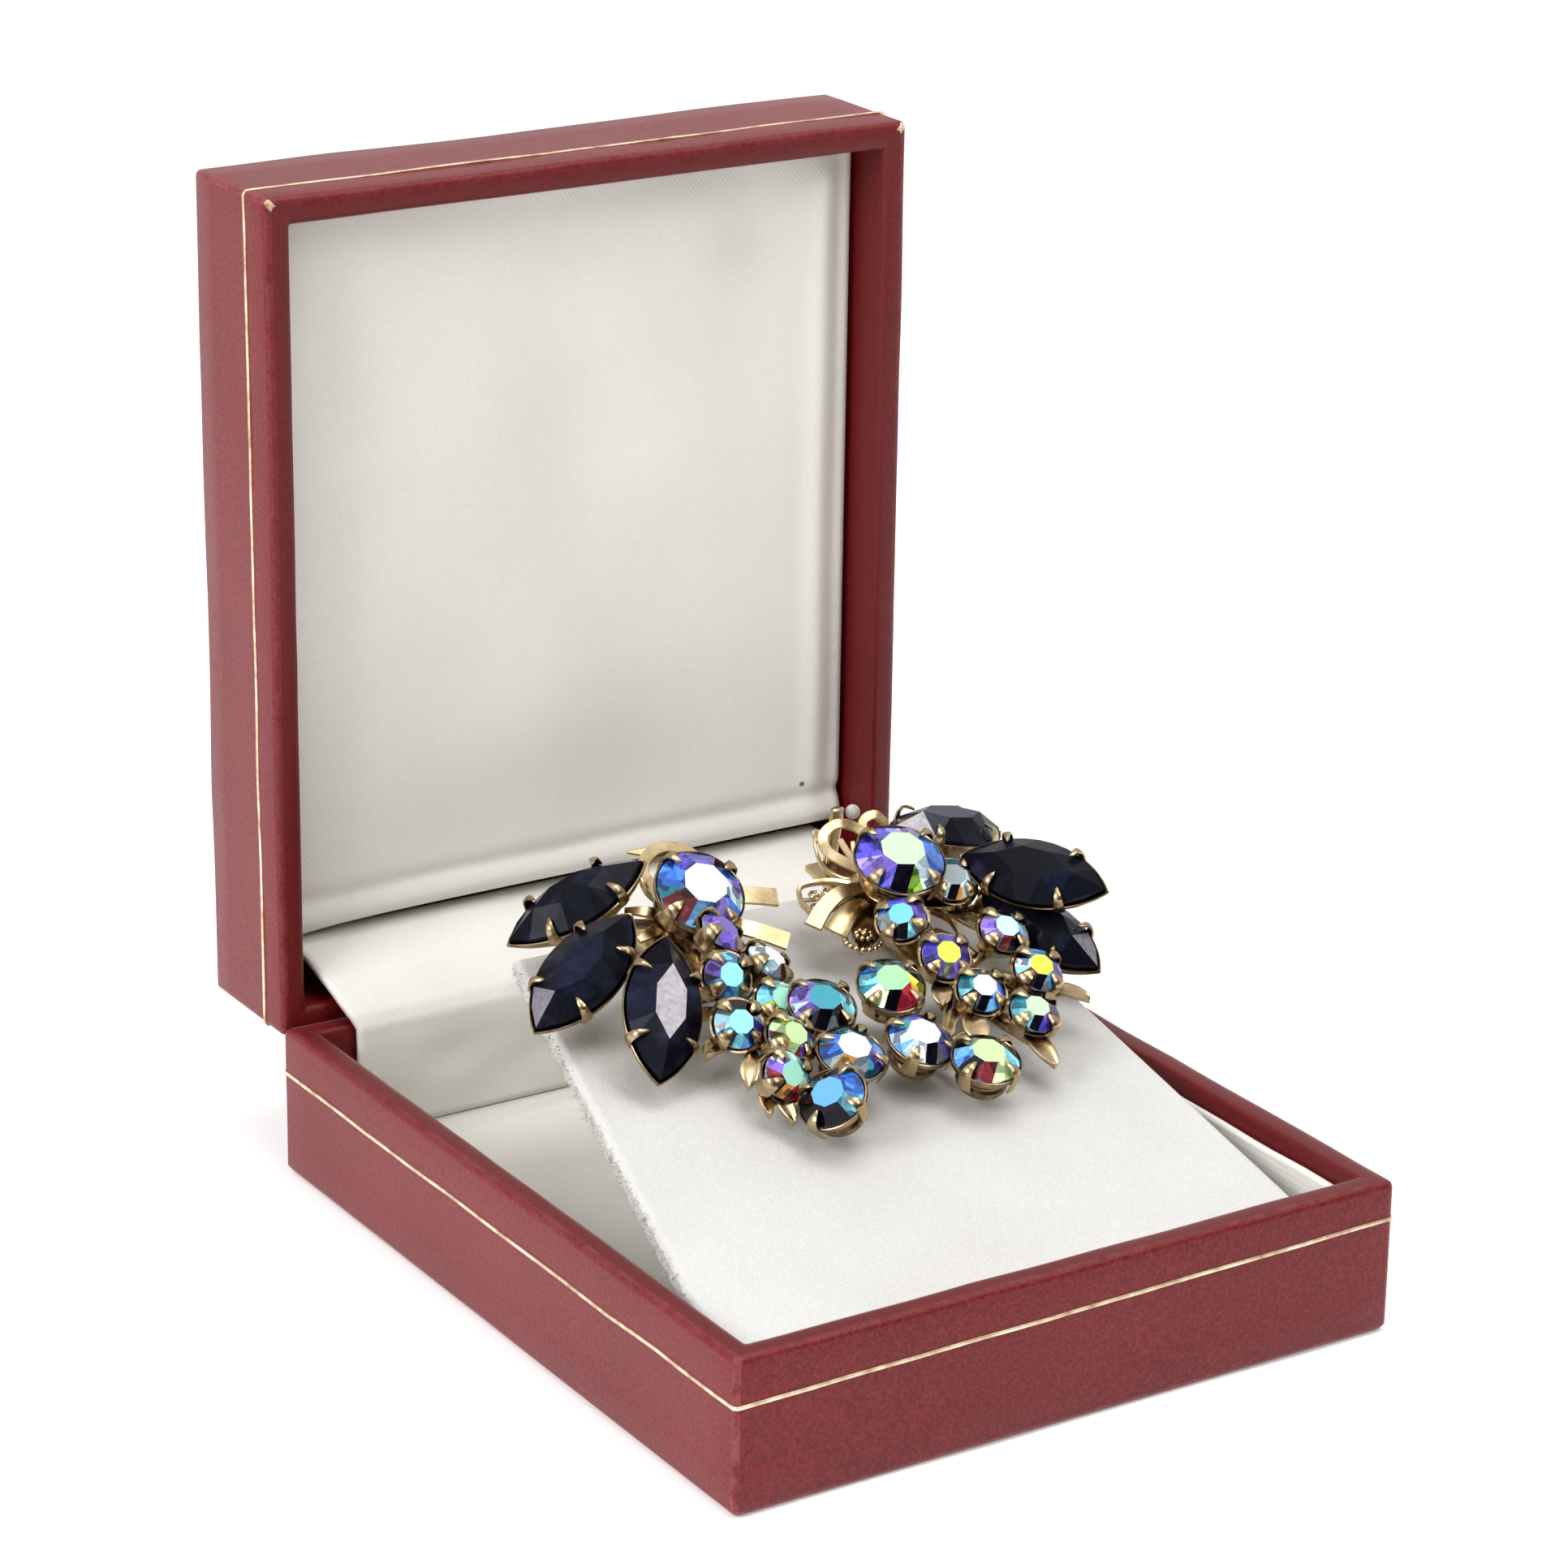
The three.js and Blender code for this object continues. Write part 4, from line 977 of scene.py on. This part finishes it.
# Stems: joints on the pad, the stems between them, and the joint that carries each stone in its table's order
SKELETONS = {
    "left": {
        "points": {"hub": (-7, 75, 6), "arm": (-14, 70, 5.2), "elbow": (-9, 64, 5.2), "bend": (-8, 57, 4.2),
                   "fork": (-8, 50, 3.6), "tip": (-8, 42, 2.8)},
        "vines": (("hub", "arm"), ("hub", "elbow"), ("elbow", "bend"), ("bend", "fork"), ("fork", "tip")),
        "hangers": "hub arm arm hub elbow elbow elbow bend bend fork tip fork tip tip",
    },
    "right": {
        "points": {"hub": (22, 71, 5.8), "arm": (30, 66, 4.8), "elbow": (22, 62, 5.2), "bend": (22, 55, 4.4),
                   "fork": (20, 49, 3.8), "tip": (12, 44, 2.6)},
        "vines": (("hub", "arm"), ("hub", "elbow"), ("elbow", "bend"), ("bend", "fork"), ("bend", "tip")),
        "hangers": "arm arm arm hub hub elbow bend bend fork fork fork tip tip tip",
    },
}

# Cast petals: middle on the pad, length, width, heading of the tip, pitch and roll in degrees
PETALS = {
    "left": [
        (-12.6, 61.4, 6, 5.6, 3, 150, 20, 0), (-13.4, 57, 5.2, 5.8, 3.4, 190, 10, 10),
        (-14.6, 51.6, 4.6, 5.4, 3.4, 200, 0, 10), (-13.2, 46.6, 4, 5.8, 2.8, 235, -8, 0),
        (-14.2, 41.4, 3.6, 5.4, 2.4, 250, -10, 0), (-13, 39.4, 3.4, 5.4, 2.4, 268, -10, 0),
        (-6.2, 67.8, 7.2, 5.2, 2.6, 170, 12, -10),
    ],
    "right": [
        (24.4, 66.6, 6.9, 6.6, 3.4, -42, 12, 0), (32, 64.6, 6.4, 5.6, 3, 20, 20, 0),
        (27.6, 62.6, 6.2, 5.6, 3, -70, 5, 0), (16.6, 51.2, 4.9, 5, 3, 240, 0, 0),
        (16.6, 43.8, 4.5, 5.6, 3.6, 252, -4, 0), (21.9, 37.6, 4.2, 6.2, 3.4, 280, -10, 0),
        (31.4, 45.6, 5, 5.6, 3, 320, 0, 0), (25, 50.2, 5.4, 5.6, 2.8, 300, 6, 0),
    ],
}


def halfway(start, end, x, y, z):
    """The middle between two points, moved by this much."""
    return start.lerp(end, 0.5) + Vector((x, y, z))


def stone_setting(shape, kind, place):
    """The cup and the four claws of one stone; returns the height of the cup's foot."""
    if kind == "navette":
        navette_setting(shape, place)
        return -3.4
    r = ROUND_RADIUS[kind]
    turn = pi / 8
    if kind == "small":
        small_cup(shape, r, turn, place)
    else:
        round_cup(shape, r, place)
    width = {"small": 1.9, "medium": 1.5, "big": 1.8}[kind]
    for k in range(4):
        sheet_claw(shape, r, turn + k * pi / 2, place, width, 0.55 + r * 0.15, 1.0 + 0.1 * r)
    return -r * 0.72 - 0.6


def build_gold(shape, name, stands_for):
    """A piece of antique gold with crisp edges, and each face's age for its colour."""
    piece = shape.build(name, GOLD, "root", stands_for, "antique_gold")
    piece.data.set_sharp_from_angle(angle=radians(SHARP_DEGREES))
    paint(piece, "age", shape.tints)


def make_metal(side, rows):
    shape = Shape()
    skeleton = SKELETONS[side]
    joints = {name: Vector(point) for name, point in skeleton["points"].items()}
    for row, hanger in zip(rows, skeleton["hangers"].split()):
        place = place_of(row)
        foot = ON_PAD.inverted() @ place @ Vector((0, 0, stone_setting(shape, row["kind"], place)))
        hanger = joints[hanger]
        sweep(shape, bezier((foot, halfway(foot, hanger, 0, 0, -0.4), hanger), 8), oval(1.5, 1.3))
    for a, b in skeleton["vines"]:
        start, end = joints[a], joints[b]
        sweep(shape, bezier((start, halfway(start, end, 0.8, 0, 0.5), end), 14), oval(1.9, 1.6),
              scale=lambda t: (1 + 0.14 * sin(t * 34), 1 + 0.14 * cos(t * 29)))
    for point in joints.values():
        ball(shape, point, 1.15)
    for petal in PETALS[side]:
        leaf(shape, *petal)
        middle = Vector(petal[:3])
        nearest = min(joints.values(), key=lambda p: (p - middle).length)
        sweep(shape, bezier((middle, halfway(middle, nearest, 0, 0, -0.5), nearest), 6), oval(1.1, 1.0))
    bow = left_bow if side == "left" else right_bow
    bow(shape)
    build_gold(shape, f"{side}_metalwork", f"{side}_metal")


def navette_setting(shape, place):
    """A boat-shaped cup whose thin edge lies just under the stone, with four narrow claws."""
    l, w = NAVETTE_LENGTH / 2, NAVETTE_WIDTH / 2
    steps = 24
    radius = (l * l + w * w) / (2 * w)

    def ring(grow, z, shrink=1.0):
        a, b = (l + grow * 1.6) * shrink, (w + grow) * shrink
        bend = (a * a + b * b) / (2 * b)
        half = asin(min(1.0, a / bend))
        points = []
        for sy in (1, -1):
            for i in range(steps):
                angle = -half + 2 * half * i / steps
                points.append(circle(sy * bend, pi / 2 - angle, z) + Vector((0, sy * (b - bend), 0)))
        return points[::-1]

    rings = [ring(0, -4.0, 0.34), ring(0, -3.6, 0.6), ring(0.1, -1.6, 0.93), ring(0.3, -0.7),
             ring(0.36, -0.34), ring(0.26, -0.22), ring(0.14, -0.3), ring(0.1, -0.7), ring(0.1, -1.5, 0.88),
             ring(0, -3.4, 0.5)]
    shape.loft(rings, place, tint=0.85)
    for sx in (1, -1):
        for sy in (1, -1):
            angle = asin(sx * l * 0.5 / radius)
            centre = place @ Matrix.Translation((0, -sy * (radius - w), 0))
            sheet_claw(shape, radius, sy * (pi / 2 - angle), centre, 1.25, 1.35, 1.5, 1.2)


def left_bow(shape):
    ball(shape, (-4.5, 77, 6.6), 2.2, 0.5)
    tilt = spin("Y", 5) @ spin("X", 30)
    flat_hoop(shape, ON_PAD @ Matrix.Translation((-2.7, 82.6, 8)) @ tilt, 4.4, 3.7, 1.5, 0.5)
    flat_hoop(shape, ON_PAD @ Matrix.Translation((-3.1, 82.4, 6.9)) @ tilt, 4.1, 3.5, 0.6, 1, 0.8)
    ribbon(shape, ((-4.4, 78, 7), (-4, 80.4, 7.4), (-2, 82.6, 7.8)), (1.4, 1.5, 1.3), age=0.3)
    ribbon(shape, ((-2.8, 87, 8.2), (-4, 87.7, 8.3), (-6.2, 88.4, 8.4)), (1.4, 1.2, 0.35),
           (-0.3, -0.5, 0.8), 0.45, 0.35)
    ribbon(shape, ((-3.5, 76.6, 6.8), (1.6, 75.6, 7.8), (7, 74.2, 7.2)), (1.8, 2.3, 2.5))
    ribbon(shape, ((-4.5, 73, 5.6), (-1.2, 70, 7.3), (3.9, 66.3, 6.2)), (1.8, 2.2, 2.5),
           age=0.2, cupped=-0.12)
    ribbon(shape, ((-6.6, 83.4, 8.2), (-7.2, 79, 8), (-8, 74.4, 7.2)), (0.9, 1.5, 1.3), age=0.1)
    ribbon(shape, ((-12.4, 78.2, 7.2), (-10, 76.6, 7.4), (-7.6, 75.4, 6.8)), (0.8, 1.5, 1.3), age=0.2)
    ribbon(shape, ((-13.6, 72.6, 6.5), (-11.2, 73.2, 6.8), (-8.4, 74.6, 6.4)), (0.9, 1.7, 1.4), age=0.2)


def right_bow(shape):
    facing = (-0.45, -0.55, 0.65)
    # The standing loop and the bands behind it
    ball(shape, (20, 74, 6.6), 2.2, 0.5)
    ribbon(shape, ((20.4, 76, 7.3), (18.9, 77.9, 7.8), (17.9, 80.2, 8.3), (18.6, 82.3, 9.2),
                   (20.9, 82.9, 10), (22.9, 81.6, 9.8), (23.2, 79.8, 9.2), (21.8, 77, 7.8)),
           (1.2, 1.3, 1.35, 1.35, 1.3, 1.2, 1.1, 1), facing, 0.5)
    ribbon(shape, ((20.6, 81.4, 8.6), (20.6, 79.4, 7.8), (20.8, 76.4, 7)), (0.8, 0.9, 0.9),
           facing, 0.4, 0.15)
    ribbon(shape, ((22, 80.6, 8.4), (21.4, 79, 7.6), (21.2, 76.4, 7)), (0.6, 0.7, 0.8),
           facing, 0.4, 0.6)
    ribbon(shape, ((18.9, 84.4, 8.6), (17.9, 82.6, 7.2), (17.4, 79.6, 6.2), (18.4, 76.6, 6), (20, 75, 6.2)),
           (1, 0.9, 0.9, 1, 1.2), (0.75, -0.5, 0.1), 0.4, 0.45)
    ribbon(shape, ((18.9, 84.4, 8.5), (18.3, 82.9, 7.9)), (1.1, 1), facing, 0.4, 0.1)
    # The filigree loop with its curls
    loop = ((18.4, 74.6, 6.4), (16.2, 76.2, 6.4), (14.4, 77.2, 6), (12.7, 77.5, 5.6), (11.8, 76.2, 5.2),
            (11.3, 74.2, 5), (11.6, 72.4, 5), (13.4, 71.6, 5.6), (16.5, 72.2, 6.2))
    ribbon(shape, loop, (0.8, 0.7, 0.6, 0.6, 0.6, 0.6, 0.6, 0.7, 0.8), (-0.2, -0.3, 0.9), 0.8, 0.15)
    for x, q, h, r, way in ((13.6, 75.4, 5.4, 0.95, 1), (12.6, 73.6, 5.1, 0.8, -1),
                            (15.2, 75.2, 5.8, 0.7, -1), (14.3, 73.4, 5.4, 0.7, 1)):
        curl = [Vector((x, q, h)) + circle(r * (1 - k / 13), way * k * 0.75, 0) for k in range(11)]
        wire(shape, curl, 0.42, 0.1)
    wire(shape, ((11.6, 75.4, 5.1), (12.8, 74.6, 5.4), (14.2, 74.4, 5.6), (16, 74, 6), (18, 73.8, 6.2)),
         0.5, 0.2)
    # The tails and the rosette with its beads
    ribbon(shape, ((20.2, 73, 6.8), (17.6, 71.4, 8), (14, 71, 8.1), (11.2, 70, 7.2),
                   (8.8, 68.4, 6)), (1.3, 1.7, 2, 2.2, 2.3), age=0.55, cupped=-0.1)
    ribbon(shape, ((20, 71.6, 6.2), (17, 69.9, 7), (13.8, 68.4, 6.8), (11, 66.6, 5.6)),
           (1.4, 2, 2.6, 3.2), age=0.42, cupped=0.22)
    leaf(shape, 15.9, 66.9, 5.3, 10, 4.2, 230, -3, 0, 1)
    for k in range(8):
        ball(shape, Vector((13.9, 64.7, 5.85)) + circle(0.95, k * pi / 4, 0), 0.36, age=0.05)
    ball(shape, (13.9, 64.7, 6), 0.5, age=0.05)
    for k in range(9):
        a = radians(150 + k * 22)
        ball(shape, (13.9 + 2.3 * cos(a), 64.6 + 2.1 * sin(a), 5), 0.42, age=0.1)
    # The band and the wires on the far side
    ribbon(shape, ((24, 81, 8.4), (24.6, 82.6, 9.8), (26.4, 82.8, 10.3), (27.5, 81.4, 9.4)),
           (1.1, 1.2, 1.2, 0.9), (-0.3, -0.6, 0.6), 0.4, 0.15)
    sweep(shape, bezier(((24.2, 81.2, 8.4), (24.2, 78, 7), (22, 73, 6)), 6), oval(1.2, 1))
    wire(shape, ((24.3, 65.4, 6.6), (25, 62.6, 6.8), (24.4, 59.2, 6.5), (23.2, 55, 5.6)), 0.9, 0.3)
    wire(shape, ((22.5, 62, 6.2), (23.6, 59, 6.4), (24.3, 55.6, 6)), 0.8, 0.3)


def rounded_plate(shape, low, high):
    """A plate on the pad with softened edges, from one corner to the other."""
    low, high = Vector(low), Vector(high)
    centre, size = (low + high) / 2, high - low
    bevel, corner = 0.2, 0.4
    rings = []
    for inset, t in ((bevel, 0.0), (0.0, bevel), (0.0, size.z - bevel), (bevel, size.z)):
        ring = rounded_ring(size.x - 2 * inset, size.y - 2 * inset, corner, low.z + t, 3, 2)
        rings.append([p + Vector((centre.x, centre.y, 0)) for p in ring])
    shape.loft(rings, ON_PAD, tint=0.2)


# Clips: the low and the high corner of each plate
CLIP_PLATES = {
    "left": (((-9.5, 66, 0.3), (-4.5, 84, 1.3)), ((-8.4, 71, 0.9), (-5.6, 79, 4.3))),
    "right": (((20.5, 62, 0.3), (25.5, 88, 1.3)), ((21.6, 67, 0.9), (24.4, 75, 4.1)),
              ((23.1, 87, 0.9), (24.9, 88, 9.2))),
}


def make_clips():
    for side, plates in CLIP_PLATES.items():
        shape = Shape()
        for low, high in plates:
            rounded_plate(shape, low, high)
        build_gold(shape, f"{side}_clip_metal", f"{side}_clip")
    shape = Shape()
    ball(shape, (26.2, 87.2, 8.3), 0.95, rings=10, steps=16)
    shape.build("clip_rubber_ball", RUBBER, "root", "right_clip_cushion", "grey_rubber")


# Studio: a white floor, a white world that darkens towards the front, soft lights from three sides
def make_floor():
    white = Nodes("floor_white")
    white.set(Base_Color=(0.93, 0.93, 0.93, 1.0), Roughness=0.9, Specular_IOR_Level=0.1)
    white.set(Emission_Color=(1.0, 1.0, 1.0, 1.0), Emission_Strength=0.22)
    half = 2.5
    mesh = bpy.data.meshes.new("floor")
    corners = [(-half, -half, 0), (half, -half, 0), (half, half, 0), (-half, half, 0)]
    mesh.from_pydata(corners, [], [(0, 1, 2, 3)])
    mesh.materials.append(white.material)
    plane = add_object("floor", mesh)
    plane.location.z = -0.0002


def make_world():
    world = bpy.data.worlds.new("studio")
    world.use_nodes = True
    tree = world.node_tree
    dot = tree.nodes.new("ShaderNodeVectorMath")
    dot.operation = "DOT_PRODUCT"
    dot.inputs[1].default_value = Vector((0.15, -0.97, 0.1)).normalized()
    tree.links.new(tree.nodes.new("ShaderNodeTexCoord").outputs["Generated"], dot.inputs[0])
    ramp = tree.nodes.new("ShaderNodeValToRGB")
    tree.links.new(dot.outputs["Value"], ramp.inputs["Fac"])
    for element, position, grey in zip(ramp.color_ramp.elements, (0.45, 0.85), (1.0, 0.05)):
        element.position = position
        element.color = (grey, grey, grey, 1.0)
    background = tree.nodes["Background"]
    tree.links.new(ramp.outputs["Color"], background.inputs["Color"])
    background.inputs["Strength"].default_value = 0.78
    bpy.context.scene.world = world
    bpy.context.scene.view_settings.view_transform = "Standard"


def make_lights():
    target = Vector((0, 0, 0.03))
    for name, place, power, size in (
            ("key", (-0.7, -0.15, 0.5), 3.9, 0.35), ("top", (0.1, -0.1, 0.9), 3.2, 0.5),
            ("front", (0.25, -0.65, 0.75), 1.9, 0.4)):
        data = bpy.data.lights.new(name, "AREA")
        data.energy = power
        data.size = size
        light = add_object(name, data)
        light.location = place
        light.rotation_euler = (target - Vector(place)).to_track_quat("-Z", "Y").to_euler()


make_camera()
make_box()
make_base_lining()
make_lid_lining()
make_stay()
make_pad()
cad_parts["pad_support"].data.materials.clear()
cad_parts["pad_support"].data.materials.append(CARD)
for side in ROWS:
    make_stones(side, ROWS[side])
for side in ROWS:
    make_metal(side, ROWS[side])
make_clips()
make_floor()
make_world()
make_lights()
